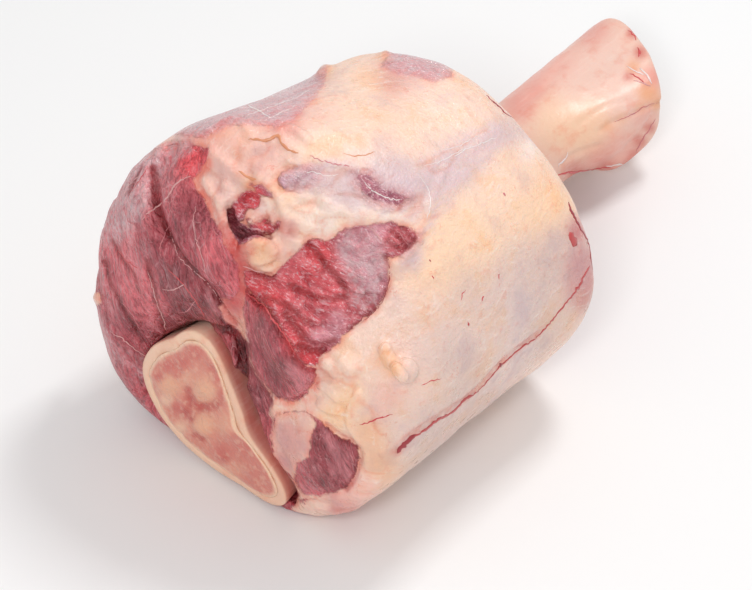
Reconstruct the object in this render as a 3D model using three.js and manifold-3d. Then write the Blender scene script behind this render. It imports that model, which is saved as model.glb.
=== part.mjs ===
// A raw beef leg joint lying on its side. A thick barrel of muscle and fat surrounds one leg bone.
// The bone is sawn flush at the near end, where its marrow shows, and its knuckle stands out of the far end.
//
// Working frame, in millimetres: +X runs along the bone from the sawn face to the knuckle,
// +Y is across, +Z is up, and the joint rests on the plane z = 0.
// The meat is one closed form: a superellipsoid barrel with muscle bellies, seams and cuts on it.

import * as THREE from 'three';
import { mergeVertices } from 'three/addons/utils/BufferGeometryUtils.js';
import Module from 'manifold-3d';

// ---- Driving dimensions ---------------------------------------------------------------------

const BARREL_LENGTH = 145;                 // meat, from the cut face to the far end
const HALF_WIDTHS = [91, 81, 85.5];        // near end, middle, far end
const HALF_HEIGHTS = [95.5, 87, 74];       // near end, middle, far end
const CENTRE_Y = [12, 6.5, 8];             // the barrel drifts across the bone
const SAG = 11;                            // how far the soft underside is pressed flat
const SECTION_POWER = 1.9;                 // 2 is an ellipse, less is a little pointed
const FACE_MIDDLE = 80;                    // height about which the cut face leans
const FACE_LEAN = 0.09;                    // how much the face leans back towards the top
const FACE_TURN = -0.03;                   // and how much it turns towards +Y
const FACE_DOME = 4;
const FAR_DOME = 5;
const RIM_POWER_LEFT = 6;                  // soft rim round the large muscle
const RIM_POWER_RIGHT = 10;                // crisper rim along the fat
const RIM_POWER_FAR = 8.3;
const FIELD_SCALE = 80;                    // turns the barrel's ratio into millimetres

const SAWN_X = -4;                         // sawn face of the bone
const KNUCKLE_X = 299;
const MARROW_DEPTH = 42;
const BONE_WALL = 5.5;
const MARROW_LENGTH = 41;
const MEAT_SETBACK_X = 1.5;                // beside the bone the meat stands back to here
const MEAT_SETBACK_SLOPE = 0.9;            // and comes forward this much per millimetre from the bone
const GAP = 0.3;                           // clearance between touching pieces

const MEAT_CELLS = [22, 31, 31];           // cells along X, Y and Z of the cube the meat starts as
const BONE_SIDES = 40;

// ---- Small maths ----------------------------------------------------------------------------

const clamp = THREE.MathUtils.clamp;
const smoothstep = THREE.MathUtils.smoothstep;

// One parabola through three values at u = 0, 1/2 and 1.
function throughThree(u, [first, middle, last]) {
  return first * (1 - u) * (1 - 2 * u) + middle * 4 * u * (1 - u) + last * u * (2 * u - 1);
}

// Union of two fields with a fillet of about k.
function blend(a, b, k) {
  const h = clamp(0.5 + (0.5 * (b - a)) / k, 0, 1);
  return b + (a - b) * h - k * h * (1 - h);
}

// Intersection of two fields with the same kind of fillet.
function trim(a, b, k) {
  return -blend(-a, -b, k);
}

// Signed distance to an ellipsoid, turned about X by `turn` degrees.
function lobe(p, [cx, cy, cz], [rx, ry, rz], turn = 0) {
  const angle = THREE.MathUtils.degToRad(turn);
  const dy = (p.y - cy) * Math.cos(angle) + (p.z - cz) * Math.sin(angle);
  const dz = -(p.y - cy) * Math.sin(angle) + (p.z - cz) * Math.cos(angle);
  const dx = p.x - cx;
  const near = Math.hypot(dx / rx, dy / ry, dz / rz) + 1e-9;
  const far = Math.hypot(dx / rx ** 2, dy / ry ** 2, dz / rz ** 2) + 1e-9;
  return (near * (near - 1)) / far;
}

// Signed distance to a round rope along a list of points.
const segment = new THREE.Line3();
const nearest = new THREE.Vector3();
function rope(p, points, radius) {
  let best = Infinity;
  for (let i = 1; i < points.length; i += 1) {
    segment.start.fromArray(points[i - 1]);
    segment.end.fromArray(points[i]);
    segment.closestPointToPoint(p, true, nearest);
    best = Math.min(best, nearest.distanceTo(p));
  }
  return best - radius;
}

// ---- The bone's outline ---------------------------------------------------------------------

// Each station gives x, the centre in y and z, and the radius every 30 degrees from +Y to +Z.
// The sawn end is a rounded triangle, the shaft is nearly round, and the knuckle is wide and low.
const BONE_STATIONS = [
  { x: -5, y: 24, z: 36, r: [37, 36, 37, 46, 31, 25, 27, 52, 38, 33, 33, 35] },
  { x: 50, y: 22, z: 37, r: [33, 32, 31, 34, 27, 24, 25, 40, 34, 30, 30, 31] },
  { x: 105, y: 22, z: 37, r: [26, 25, 24, 25, 23, 23, 24, 28, 27, 25, 25, 26] },
  { x: 165, y: 26, z: 36, r: [23, 22, 21, 20, 20, 21, 22, 23, 22, 21, 21, 22] },
  { x: 225, y: 28, z: 35, r: [24, 23, 21, 19, 19, 21, 24, 24, 21, 20, 20, 22] },
  { x: 256, y: 25, z: 34, r: [28, 26, 22, 20, 22, 27, 28, 26, 24, 21, 21, 24] },
  { x: 300, y: 20, z: 33, r: [34, 31, 25, 22, 26, 30, 26, 29, 29, 23, 24, 29] },
];

// Catmull-Rom curve through four evenly spaced numbers, between the second and the third.
function smoothBetween(a, b, c, d, t) {
  return 0.5 * (2 * b + (c - a) * t + (2 * a - 5 * b + 4 * c - d) * t * t
    + (3 * b - a - 3 * c + d) * t ** 3);
}

// The bone's centre, and its radius towards `angle`, at the station x.
function boneSection(x, angle) {
  const last = BONE_STATIONS.length - 1;
  let i = 0;
  while (i < last - 1 && BONE_STATIONS[i + 1].x <= x) i += 1;
  const span = BONE_STATIONS[i + 1].x - BONE_STATIONS[i].x;
  const t = clamp((x - BONE_STATIONS[i].x) / span, 0, 1);
  const along = (pick) => smoothBetween(
    pick(BONE_STATIONS[Math.max(i - 1, 0)]),
    pick(BONE_STATIONS[i]),
    pick(BONE_STATIONS[i + 1]),
    pick(BONE_STATIONS[Math.min(i + 2, last)]),
    t,
  );
  const turn = THREE.MathUtils.euclideanModulo(angle / (Math.PI / 6), 12);
  const k = Math.floor(turn);
  const around = (station) => smoothBetween(
    station.r[(k + 11) % 12],
    station.r[k % 12],
    station.r[(k + 1) % 12],
    station.r[(k + 2) % 12],
    turn - k,
  );
  return { y: along((s) => s.y), z: along((s) => s.z), r: along(around) };
}

// Distance outside the bone's side, for a point at p.
function boneField(p) {
  const centre = boneSection(p.x, 0);
  const dy = p.y - centre.y;
  const dz = p.z - centre.z;
  const { r } = boneSection(p.x, Math.atan2(dz, dy));
  return (Math.hypot(dy, dz) / r - 1) * Math.min(r, 26) * 0.9;
}

// The knuckle's end: one broad face, one face that slants towards -Y, and an undercut below.
function knuckleEnd(y, z) {
  const broad = KNUCKLE_X + 0.25 * (y - 25);
  const side = KNUCKLE_X - 20 + 0.69 * (y + 4);
  const under = KNUCKLE_X - 13 + 1.41 * (z - 30);
  return blend(blend(broad, side, 8), under, 8);
}

// ---- The meat's form ------------------------------------------------------------------------

const MUSCLES = [
  { centre: [16, 47, 94], radii: [23, 33, 53], turn: 0, fillet: 9 },      // outer muscle of the face
  { centre: [14, 22, 116], radii: [19, 22, 34], turn: 20, fillet: 8 },    // inner muscle of the face
  { centre: [8, 55, 46], radii: [16, 38, 46], turn: 0, fillet: 8 },       // heel beside the bone
  { centre: [8, -19, 101], radii: [14, 15, 27], turn: -30, fillet: 4 },   // cut muscle tongue
  { centre: [7, -36, 50], radii: [14, 18, 25], turn: 0, fillet: 4 },      // muscle stub at the lower right
  { centre: [114, 10, 127], radii: [28, 40, 22], turn: 0, fillet: 14 },   // shoulder at the far end
];
const SEAMS = [
  // crevice down the face, between the outer and the inner muscle
  {
    points: [
      [18, 60, 152], [8, 57, 139], [0, 50, 130], [-6, 41, 123], [-8, 32, 117], [-8, 17, 110], [-6, 3, 99],
    ],
    radius: 3.5,
    fillet: 5,
  },
  // crevice between the bone and the muscles at its right
  {
    points: [[-3, 8, 92], [-5, 0, 76], [-7, -8, 60], [-8, -18, 41], [-8, -26, 27]],
    radius: 5,
    fillet: 6,
  },
  // seam between the muscle stub and the band of fat along the right rim
  {
    points: [[-4, -56, 76], [-5, -60, 58], [-5, -58, 40], [-4, -52, 26]],
    radius: 4,
    fillet: 5,
  },
];

// A loose nub of fat on the side, by the near rim.
const FAT_NUB = { centre: [20, -62, 103], radii: [10, 10, 11], fillet: 8 };

// A torn hollow in the fat above the face.
const POCKET = { centre: [10, 7, 151], radii: [9, 14, 9], turn: 10, fillet: 6 };

// The shoulder where the cover of fat has been torn away, above the cut muscles.
const SHOULDER_POINT = new THREE.Vector3(0, 0, 124);
const SHOULDER_NORMAL = new THREE.Vector3(-0.718, -0.393, 0.575);
const SHOULDER_FILLET = 14;

// How far a point of the section is from its middle, where 1 is the barrel's side.
function sectionRatio(across, up) {
  return (Math.abs(across) ** SECTION_POWER + Math.abs(up) ** SECTION_POWER) ** (1 / SECTION_POWER);
}

// The barrel: a round section along X, closed by two domed ends with softly rounded rims.
function barrelField(p) {
  const lean = FACE_LEAN * (p.z - FACE_MIDDLE) + FACE_TURN * p.y;
  const u = clamp((p.x - lean) / BARREL_LENGTH, -0.15, 1.15);
  const halfWidth = throughThree(u, HALF_WIDTHS);
  const halfHeight = throughThree(u, HALF_HEIGHTS);
  const across = (p.y - throughThree(u, CENTRE_Y)) / halfWidth;
  const up = (p.z - halfHeight + SAG) / halfHeight;
  const round = sectionRatio(across, up);
  const swell = 1 - Math.min(round, 1) ** 2;
  const length = BARREL_LENGTH + (FACE_DOME + FAR_DOME) * swell;
  const along = (2 * (p.x - lean + FACE_DOME * swell)) / length - 1;
  const right = smoothstep(-across, -0.2, 0.5);
  const rimNear = THREE.MathUtils.lerp(RIM_POWER_LEFT, RIM_POWER_RIGHT, right);
  const rim = along < 0 ? rimNear : RIM_POWER_FAR;
  return ((Math.abs(along) ** rim + round ** rim) ** (1 / rim) - 1) * FIELD_SCALE;
}

// The whole meat, with the bone's bore left out: below zero is inside.
const fromShoulder = new THREE.Vector3();
function meatField(p) {
  let d = barrelField(p);
  d = trim(d, fromShoulder.subVectors(p, SHOULDER_POINT).dot(SHOULDER_NORMAL), SHOULDER_FILLET);
  for (const muscle of MUSCLES) {
    d = blend(d, lobe(p, muscle.centre, muscle.radii, muscle.turn), muscle.fillet);
  }
  d = blend(d, lobe(p, FAT_NUB.centre, FAT_NUB.radii), FAT_NUB.fillet);
  d = trim(d, -lobe(p, POCKET.centre, POCKET.radii, POCKET.turn), POCKET.fillet);
  for (const seam of SEAMS) d = trim(d, -rope(p, seam.points, seam.radius), seam.fillet);
  const beside = Math.max(boneField(p), 0);
  const setback = (p.x - MEAT_SETBACK_X + MEAT_SETBACK_SLOPE * beside) / Math.hypot(1, MEAT_SETBACK_SLOPE);
  return Math.max(trim(d, -setback, 3), -p.z);
}

// ---- Meshes ---------------------------------------------------------------------------------

// Keeps only the positions of a geometry, with equal points made one.
function weld(geometry, tolerance = 1e-4) {
  geometry.deleteAttribute('normal');
  geometry.deleteAttribute('uv');
  return mergeVertices(geometry, tolerance);
}

// A cube's points pushed out to the meat's form: each one is found from the outside inwards.
function makeMeatBlank() {
  const geometry = weld(new THREE.BoxGeometry(2, 2, 2, ...MEAT_CELLS));
  const position = geometry.getAttribute('position');
  const core = new THREE.Vector3();
  const reach = new THREE.Vector3();
  const p = new THREE.Vector3();
  for (let i = 0; i < position.count; i += 1) {
    const cube = new THREE.Vector3().fromBufferAttribute(position, i);
    const round = sectionRatio(cube.y, cube.z);
    const size = (Math.abs(cube.x) ** RIM_POWER_LEFT + round ** RIM_POWER_LEFT) ** (1 / RIM_POWER_LEFT);
    cube.divideScalar(size);
    const u = (cube.x + 1) / 2;
    const height = throughThree(u, HALF_HEIGHTS);
    core.set(BARREL_LENGTH / 2, CENTRE_Y[1], HALF_HEIGHTS[1] - SAG);
    reach.set(cube.x * BARREL_LENGTH * 0.5, 0, 0);
    reach.y = throughThree(u, CENTRE_Y) - CENTRE_Y[1] + cube.y * throughThree(u, HALF_WIDTHS);
    reach.z = height - HALF_HEIGHTS[1] + cube.z * height;
    const at = (s) => p.copy(core).addScaledVector(reach, s);
    let outside = 1.3;
    while (meatField(at(outside - 0.01)) > 0 && outside > 0.4) outside -= 0.01;
    let inside = outside - 0.01;
    for (let k = 0; k < 20; k += 1) {
      const middle = (inside + outside) / 2;
      if (meatField(at(middle)) > 0) outside = middle;
      else inside = middle;
    }
    at(inside);
    if (p.z < 0.01) p.z = 0;
    position.setXYZ(i, p.x, p.y, p.z);
  }
  return geometry;
}

// A lathe whose rings are laid on the bone's outline. Each ring has a place x along the bone,
// a share k of the outline's radius, and an inset from it in millimetres. Rings with `end` set
// are drawn towards the knuckle's slanting end.
function makeLoft(rings) {
  const outline = rings.map((ring, i) => new THREE.Vector2(ring.k === 0 ? 0 : 1, i));
  const geometry = new THREE.LatheGeometry(outline, BONE_SIDES);
  const position = geometry.getAttribute('position');
  for (let i = 0; i < position.count; i += 1) {
    const ring = rings[Math.round(position.getY(i))];
    const angle = Math.atan2(position.getX(i), position.getZ(i));
    const { y, z, r } = boneSection(ring.x, angle);
    const radius = ring.k === 0 ? 0 : (r - ring.inset) * ring.k;
    const py = y + radius * Math.cos(angle);
    const pz = z + radius * Math.sin(angle);
    const stretch = ring.end ? ring.end * (knuckleEnd(py, pz) - KNUCKLE_X) : 0;
    position.setXYZ(i, ring.x + stretch, py, pz);
  }
  return weld(geometry);
}

// Rings evenly spaced between two places, all with the same inset.
function span(from, to, count, inset) {
  return Array.from({ length: count }, (_, i) => ({
    x: from + ((to - from) * i) / (count - 1),
    k: 1,
    inset,
  }));
}

const FLARE_X = 225;                       // from here on the rings lean towards the knuckle's end
const lean = (ring) => ({ ...ring, end: clamp((ring.x - FLARE_X) / (KNUCKLE_X - FLARE_X), 0, 1) });

function makeBone() {
  const hollowFloor = SAWN_X + MARROW_DEPTH;
  const rounding = [[7, 1], [3, 0.985], [1, 0.95], [0, 0.89], [0, 0.6], [0, 0.3], [0, 0]];
  return makeLoft([
    { x: hollowFloor, k: 0, inset: 0 },
    { x: hollowFloor, k: 0.5, inset: BONE_WALL },
    ...span(hollowFloor, SAWN_X, 5, BONE_WALL),
    { x: SAWN_X, k: 1, inset: 0.6 },
    ...span(SAWN_X + 0.6, KNUCKLE_X - 12, 20, 0).map(lean),
    ...rounding.map(([back, k]) => lean({ x: KNUCKLE_X - back, k, inset: 0 })),
  ]);
}

function makeMarrow() {
  const inset = BONE_WALL + GAP;
  return makeLoft([
    { x: SAWN_X - 1, k: 0, inset },
    { x: SAWN_X - 1, k: 0.5, inset },
    { x: SAWN_X - 0.6, k: 0.93, inset },
    ...span(SAWN_X, SAWN_X + MARROW_LENGTH, 5, inset),
    { x: SAWN_X + MARROW_LENGTH, k: 0.5, inset },
    { x: SAWN_X + MARROW_LENGTH, k: 0, inset },
  ]);
}

// The room the bone needs in the meat: its side, grown by the gap and run out at both ends.
function makeBoneRoom() {
  const front = { x: SAWN_X - 30, inset: -GAP };
  return makeLoft([
    { ...front, k: 0 },
    { ...front, k: 1 },
    ...span(SAWN_X, FLARE_X - 30, 14, -GAP),
    { x: FLARE_X - 30, k: 0, inset: -GAP },
  ]);
}

// ---- Boolean cut ----------------------------------------------------------------------------

const manifold = await Module();
manifold.setup();

function toManifold(geometry) {
  const mesh = new manifold.Mesh({
    numProp: 3,
    vertProperties: new Float32Array(geometry.getAttribute('position').array),
    triVerts: new Uint32Array(geometry.getIndex().array),
  });
  mesh.merge();
  return new manifold.Manifold(mesh);
}

function fromManifold(solid) {
  const mesh = solid.getMesh();
  const geometry = new THREE.BufferGeometry();
  geometry.setAttribute('position', new THREE.BufferAttribute(mesh.vertProperties, 3));
  geometry.setIndex(new THREE.BufferAttribute(mesh.triVerts, 1));
  return geometry;
}

// ---- The joint ------------------------------------------------------------------------------

const MATERIALS = {
  meat: { color: 0xc98a7f, roughness: 0.42 },
  bone: { color: 0xeab49b, roughness: 0.45 },
  marrow: { color: 0xdb8f80, roughness: 0.5 },
};

function named(name, geometry, material) {
  const mesh = new THREE.Mesh(geometry, new THREE.MeshStandardMaterial({ ...material, metalness: 0 }));
  mesh.name = name;
  return mesh;
}

const meatSolid = toManifold(makeMeatBlank()).subtract(toManifold(makeBoneRoom()));

const joint = new THREE.Group();
joint.add(named('meat', fromManifold(meatSolid), MATERIALS.meat));
joint.add(named('shin_bone', makeBone(), MATERIALS.bone));
joint.add(named('marrow', makeMarrow(), MATERIALS.marrow));

// The origin is the middle of the underside of the whole.
const bounds = new THREE.Box3().setFromObject(joint);
const middle = bounds.getCenter(new THREE.Vector3());
joint.position.set(-middle.x, -middle.y, -bounds.min.z);

export default joint;
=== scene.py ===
# %% [markdown]
# # A raw beef leg joint
# The joint lies on its side. A barrel of muscle and fat surrounds one leg bone. The bone is sawn flush
# at the near end and its bare knuckle stands out of the far end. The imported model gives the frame.
# This script builds the looks over it. The meat is a signed distance field, where below zero is inside,
# turned into one fine mesh. The bone and marrow are lofts. Thin threads are laid on the meat and the bone.

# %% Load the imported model
import math
import bpy
import numpy as np
import openvdb
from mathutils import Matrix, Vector
from mathutils.bvhtree import BVHTree


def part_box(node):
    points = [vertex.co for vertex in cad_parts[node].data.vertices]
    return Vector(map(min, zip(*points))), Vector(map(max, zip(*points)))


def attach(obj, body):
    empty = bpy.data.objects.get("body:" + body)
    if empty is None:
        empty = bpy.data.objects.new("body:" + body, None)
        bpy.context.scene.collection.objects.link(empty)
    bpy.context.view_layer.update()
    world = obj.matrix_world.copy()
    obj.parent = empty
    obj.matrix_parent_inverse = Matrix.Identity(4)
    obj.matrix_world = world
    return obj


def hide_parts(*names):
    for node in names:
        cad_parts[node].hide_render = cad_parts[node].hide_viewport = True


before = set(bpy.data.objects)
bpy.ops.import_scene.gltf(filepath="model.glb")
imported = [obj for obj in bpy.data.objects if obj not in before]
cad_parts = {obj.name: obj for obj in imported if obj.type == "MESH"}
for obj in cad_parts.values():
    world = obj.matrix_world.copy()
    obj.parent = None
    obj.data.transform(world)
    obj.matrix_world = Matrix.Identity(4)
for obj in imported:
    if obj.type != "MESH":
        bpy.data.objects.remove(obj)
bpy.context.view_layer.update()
print("packed nodes:", sorted(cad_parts))

# %% [markdown]
# ## Sizes
# These are the driving sizes of the form, in millimetres. X runs along the bone from the sawn face,
# Y is across and Z is up from the plane that the joint rests on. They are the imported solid's own sizes,
# so that the looks fit it all round and not only from the camera.

# %% Name the sizes of the form
BARREL_LENGTH = 145.0
HALF_WIDTHS = (91.0, 81.0, 85.5)       # near end, middle, far end
HALF_HEIGHTS = (95.5, 87.0, 74.0)
CENTRE_Y = (12.0, 6.5, 8.0)
SAG = 11.0                             # how far the soft underside is pressed flat
SECTION_POWER = 1.9
FACE_MIDDLE, FACE_LEAN, FACE_TURN = 80.0, 0.09, -0.03
FACE_DOME, FAR_DOME = 4.0, 5.0
RIM_LEFT, RIM_RIGHT, RIM_FAR = 6.0, 10.0, 8.3
FIELD_SCALE = 80.0

SAWN_X, KNUCKLE_X, FLARE_X = -4.0, 299.0, 225.0
BONE_WALL = 5.5
MARROW_LENGTH, HOLLOW_LENGTH = 41.0, 42.0
GAP = 0.3
FINE_STEP, COARSE_STEP = 1.28, 2.1     # steps of the meat's field
FINE_TO = (52.0, 50.0, 300.0)          # along X, Y and Z, the steps are fine up to here
COARSE_FROM = (100.0, 85.0, 400.0)     # and coarse from here on
print("barrel, mm:", BARREL_LENGTH, "long,", 2 * HALF_WIDTHS[0], "wide,", 2 * HALF_HEIGHTS[0] - SAG, "high")

# %% [markdown]
# A leg bone changes shape along its length: the sawn end is a rounded triangle, the shaft nearly round
# and the knuckle wide and low. A few sections with a smooth curve between them say that with few numbers.
# Each of the seven stations gives x, the centre in y and z, and the radius every 30 degrees from +Y
# towards +Z.

# %% Name the bone's stations
BONE_STATIONS = (
    (-5, 24, 36, (37, 36, 37, 46, 31, 25, 27, 52, 38, 33, 33, 35)),
    (50, 22, 37, (33, 32, 31, 34, 27, 24, 25, 40, 34, 30, 30, 31)),
    (105, 22, 37, (26, 25, 24, 25, 23, 23, 24, 28, 27, 25, 25, 26)),
    (165, 26, 36, (23, 22, 21, 20, 20, 21, 22, 23, 22, 21, 21, 22)),
    (225, 28, 35, (24, 23, 21, 19, 19, 21, 24, 24, 21, 20, 20, 22)),
    (256, 25, 34, (28, 26, 22, 20, 22, 27, 28, 26, 24, 21, 21, 24)),
    (300, 20, 33, (34, 31, 25, 22, 26, 30, 26, 29, 29, 23, 24, 29)),
)
STATION_X = np.array([s[0] for s in BONE_STATIONS], float)
print(len(BONE_STATIONS), "stations from x =", STATION_X[0], "to", STATION_X[-1], "mm")

# %% [markdown]
# ## Small maths for fields
# A field is a function of points that gives a distance in millimetres. Two fields join or cut each other
# with a fillet, which is how soft flesh meets. Modelling the folds by hand would need far more steps.

# %% Define the small maths
def smoothstep(low, high, value):
    t = np.clip((value - low) / (high - low), 0.0, 1.0)
    return t * t * (3.0 - 2.0 * t)


def through_three(u, values):
    """One parabola through three values at u = 0, 1/2 and 1."""
    first, middle, last = values
    return first * (1 - u) * (1 - 2 * u) + middle * 4 * u * (1 - u) + last * u * (2 * u - 1)


def blend(a, b, k):
    """Union of two fields with a fillet of about k."""
    h = np.clip(0.5 + 0.5 * (b - a) / k, 0.0, 1.0)
    return b + (a - b) * h - k * h * (1.0 - h)


def trim(a, b, k):
    """Intersection of two fields with a fillet of about k."""
    return -blend(-a, -b, k)


def lobe(points, centre, radii, turn=0.0):
    """Distance to an ellipsoid, turned about X by `turn` degrees."""
    p = points - np.asarray(centre, float)
    c, s = math.cos(math.radians(turn)), math.sin(math.radians(turn))
    q = np.stack([p[:, 0], p[:, 1] * c + p[:, 2] * s, -p[:, 1] * s + p[:, 2] * c], axis=1)
    r = np.asarray(radii, float)
    near = np.linalg.norm(q / r, axis=1) + 1e-9
    far = np.linalg.norm(q / r ** 2, axis=1) + 1e-9
    return near * (near - 1.0) / far


def rope(points, path, radius):
    """Distance to a round rope along a path."""
    best = np.full(len(points), np.inf)
    path = np.asarray(path, float)
    for a, b in zip(path[:-1], path[1:]):
        along = b - a
        t = np.clip((points - a) @ along / (along @ along), 0.0, 1.0)
        best = np.minimum(best, np.linalg.norm(points - a - t[:, None] * along, axis=1))
    return best - radius


LATTICE_CELLS = 32
lattices = {}


def noise(points, size, seed):
    """Smooth random values from -1 to 1, with bumps about `size` mm across (one size, or one per axis)."""
    if seed not in lattices:
        shape = (LATTICE_CELLS,) * 3
        lattices[seed] = np.random.default_rng(seed).uniform(-1, 1, shape).astype(np.float32).ravel()
    p = (points / np.asarray(size, float)).T
    cell = np.floor(p).astype(np.int32)
    f = (p - cell).astype(np.float32)
    f = f * f * (3.0 - 2.0 * f)
    low, high = cell % LATTICE_CELLS, (cell + 1) % LATTICE_CELLS
    total = np.zeros(len(points), np.float32)
    for di, dj, dk in np.ndindex(2, 2, 2):
        i, j, k = ((high if d else low)[axis] for axis, d in enumerate((di, dj, dk)))
        a, b, c = (f[axis] if d else 1.0 - f[axis] for axis, d in enumerate((di, dj, dk)))
        total += lattices[seed][(i * LATTICE_CELLS + j) * LATTICE_CELLS + k] * a * b * c
    return total


def catmull(a, b, c, d, t):
    """Catmull-Rom curve from b to c, at t from 0 to 1."""
    return 0.5 * (2 * b + (c - a) * t + (2 * a - 5 * b + 4 * c - d) * t ** 2
                  + (3 * b - a - 3 * c + d) * t ** 3)


def curve(points, step):
    """Points about `step` apart on a smooth curve through a list of points."""
    p = np.asarray(points, float)
    if len(p) < 3:
        p = np.array([p[0], (p[0] + p[-1]) / 2, p[-1]])
    ends = np.vstack([2 * p[0] - p[1], p, 2 * p[-1] - p[-2]])
    out = []
    for a, b, c, d in zip(ends[:-3], ends[1:-2], ends[2:-1], ends[3:]):
        count = max(2, int(np.linalg.norm(c - b) / step))
        out += [catmull(a, b, c, d, t) for t in np.arange(count) / count]
    out.append(p[-1])
    return np.array(out)


print("a fillet of 4 mm moves the surface by", blend(0.0, 0.0, 4.0), "mm where two fields meet")

# %% [markdown]
# ## The camera of the photo
# One camera sees the joint as the photo does. Muscles, seams and stains have no outline that a formula
# gives, so places on the surface are named by their pixel in the photo's 752 by 590 frame. A pixel
# becomes a ray, and the ray finds the surface, so that each detail lies on the meat from any side.

# %% Set out the camera
IMAGE_SIZE = (752.0, 590.0)
FOCAL_PIXELS = 3600.0
CAMERA_TURN, CAMERA_RISE = math.radians(-49.5), math.radians(44.0)
CAMERA_DISTANCE = 1550.0
CAMERA_TARGET = np.array([79.0, -1.0, 60.0])
PIXELS_PER_MM = 2.3

BACK = np.array([
    math.sin(CAMERA_TURN) * math.cos(CAMERA_RISE),
    -math.cos(CAMERA_TURN) * math.cos(CAMERA_RISE),
    math.sin(CAMERA_RISE),
])
RIGHT = np.array([math.cos(CAMERA_TURN), math.sin(CAMERA_TURN), 0.0])
UP = np.cross(BACK, RIGHT)
EYE = CAMERA_TARGET + BACK * CAMERA_DISTANCE


def to_pixel(points):
    d = points - EYE
    depth = -(d @ BACK)
    return np.stack([IMAGE_SIZE[0] / 2 + FOCAL_PIXELS * (d @ RIGHT) / depth,
                     IMAGE_SIZE[1] / 2 - FOCAL_PIXELS * (d @ UP) / depth], axis=1)


def pixel_rays(pixels):
    p = np.asarray(pixels, float).reshape(-1, 2) - np.array(IMAGE_SIZE) / 2
    d = -BACK * FOCAL_PIXELS + p[:, :1] * RIGHT - p[:, 1:] * UP
    return d / np.linalg.norm(d, axis=1, keepdims=True)


print("camera eye, mm:", EYE.round(1))

# %% [markdown]
# ## The bone
# The bone's outline is found at any x and angle. The same outline makes the bone, its marrow and the
# room that the meat leaves for it.

# %% Define the bone's outline
def spline(table, t):
    """Catmull-Rom curve through the rows of a table, at t in rows."""
    table = np.asarray(table, float)
    last = len(table) - 1
    i = np.clip(np.floor(t).astype(int), 0, last - 1)
    f = (t - i).reshape(t.shape + (1,) * (table.ndim - 1))
    a, b, c, d = table[np.maximum(i - 1, 0)], table[i], table[i + 1], table[np.minimum(i + 2, last)]
    return catmull(a, b, c, d, f)


def bone_centre(x):
    t = np.interp(x, STATION_X, np.arange(len(STATION_X)))
    return spline([s[1:3] for s in BONE_STATIONS], t)


def bone_radius(x, angle):
    t = np.interp(x, STATION_X, np.arange(len(STATION_X)))
    radii = spline([s[3] for s in BONE_STATIONS], t)
    turn = np.mod(angle / (math.pi / 6), 12.0)
    i = np.floor(turn).astype(int) % 12
    f = turn - np.floor(turn)
    a, b, c, d = (np.take_along_axis(radii, ((i + k) % 12)[:, None], 1)[:, 0] for k in (-1, 0, 1, 2))
    return catmull(a, b, c, d, f)


def from_bone_centre(points):
    """How far each point is from the bone's centre line, and the bone's radius on that side."""
    offset = points[:, 1:] - bone_centre(points[:, 0])
    radius = bone_radius(points[:, 0], np.arctan2(offset[:, 1], offset[:, 0]))
    return np.linalg.norm(offset, axis=1), radius


WIDEST_SCALE, FIELD_SHARE = 26.0, 0.9  # they keep the field near a true distance where the bone is wide


def bone_field(points):
    away, radius = from_bone_centre(points)
    return (away / radius - 1.0) * np.minimum(radius, WIDEST_SCALE) * FIELD_SHARE


def knuckle_end(y, z):
    """The x of the knuckle's end: a broad face, a slanting side face and an undercut below."""
    broad = KNUCKLE_X + 0.25 * (y - 25)
    side = KNUCKLE_X - 20 + 0.69 * (y + 4)
    under = KNUCKLE_X - 13 + 1.41 * (z - 30)
    return blend(blend(broad, side, 8), under, 8)


print("shaft radii at x = 165, mm:", bone_radius(np.full(4, 165.0), np.arange(4) * math.pi / 2).round(1))

# %% [markdown]
# The frame's origin is the middle of the whole object's underside. The bone's own box ties the two
# frames together: its lowest x is the sawn face and its lowest y comes from the outline.

# %% Tie the form to the frame
ring_x = np.repeat(np.linspace(SAWN_X, KNUCKLE_X, 60), 40)
ring_angle = np.tile(np.linspace(0, 2 * math.pi, 40, endpoint=False), 60)
ring_y = bone_centre(ring_x)[:, 0] + bone_radius(ring_x, ring_angle) * np.cos(ring_angle)
bone_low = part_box("shin_bone")[0]
SHIFT = np.array([bone_low.x * 1000 - SAWN_X, bone_low.y * 1000 - ring_y.min(), 0.0])
print("shift from the form's frame to the row's, mm:", SHIFT.round(2))


def to_frame(points):
    return (np.asarray(points, float) + SHIFT) * 0.001
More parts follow.
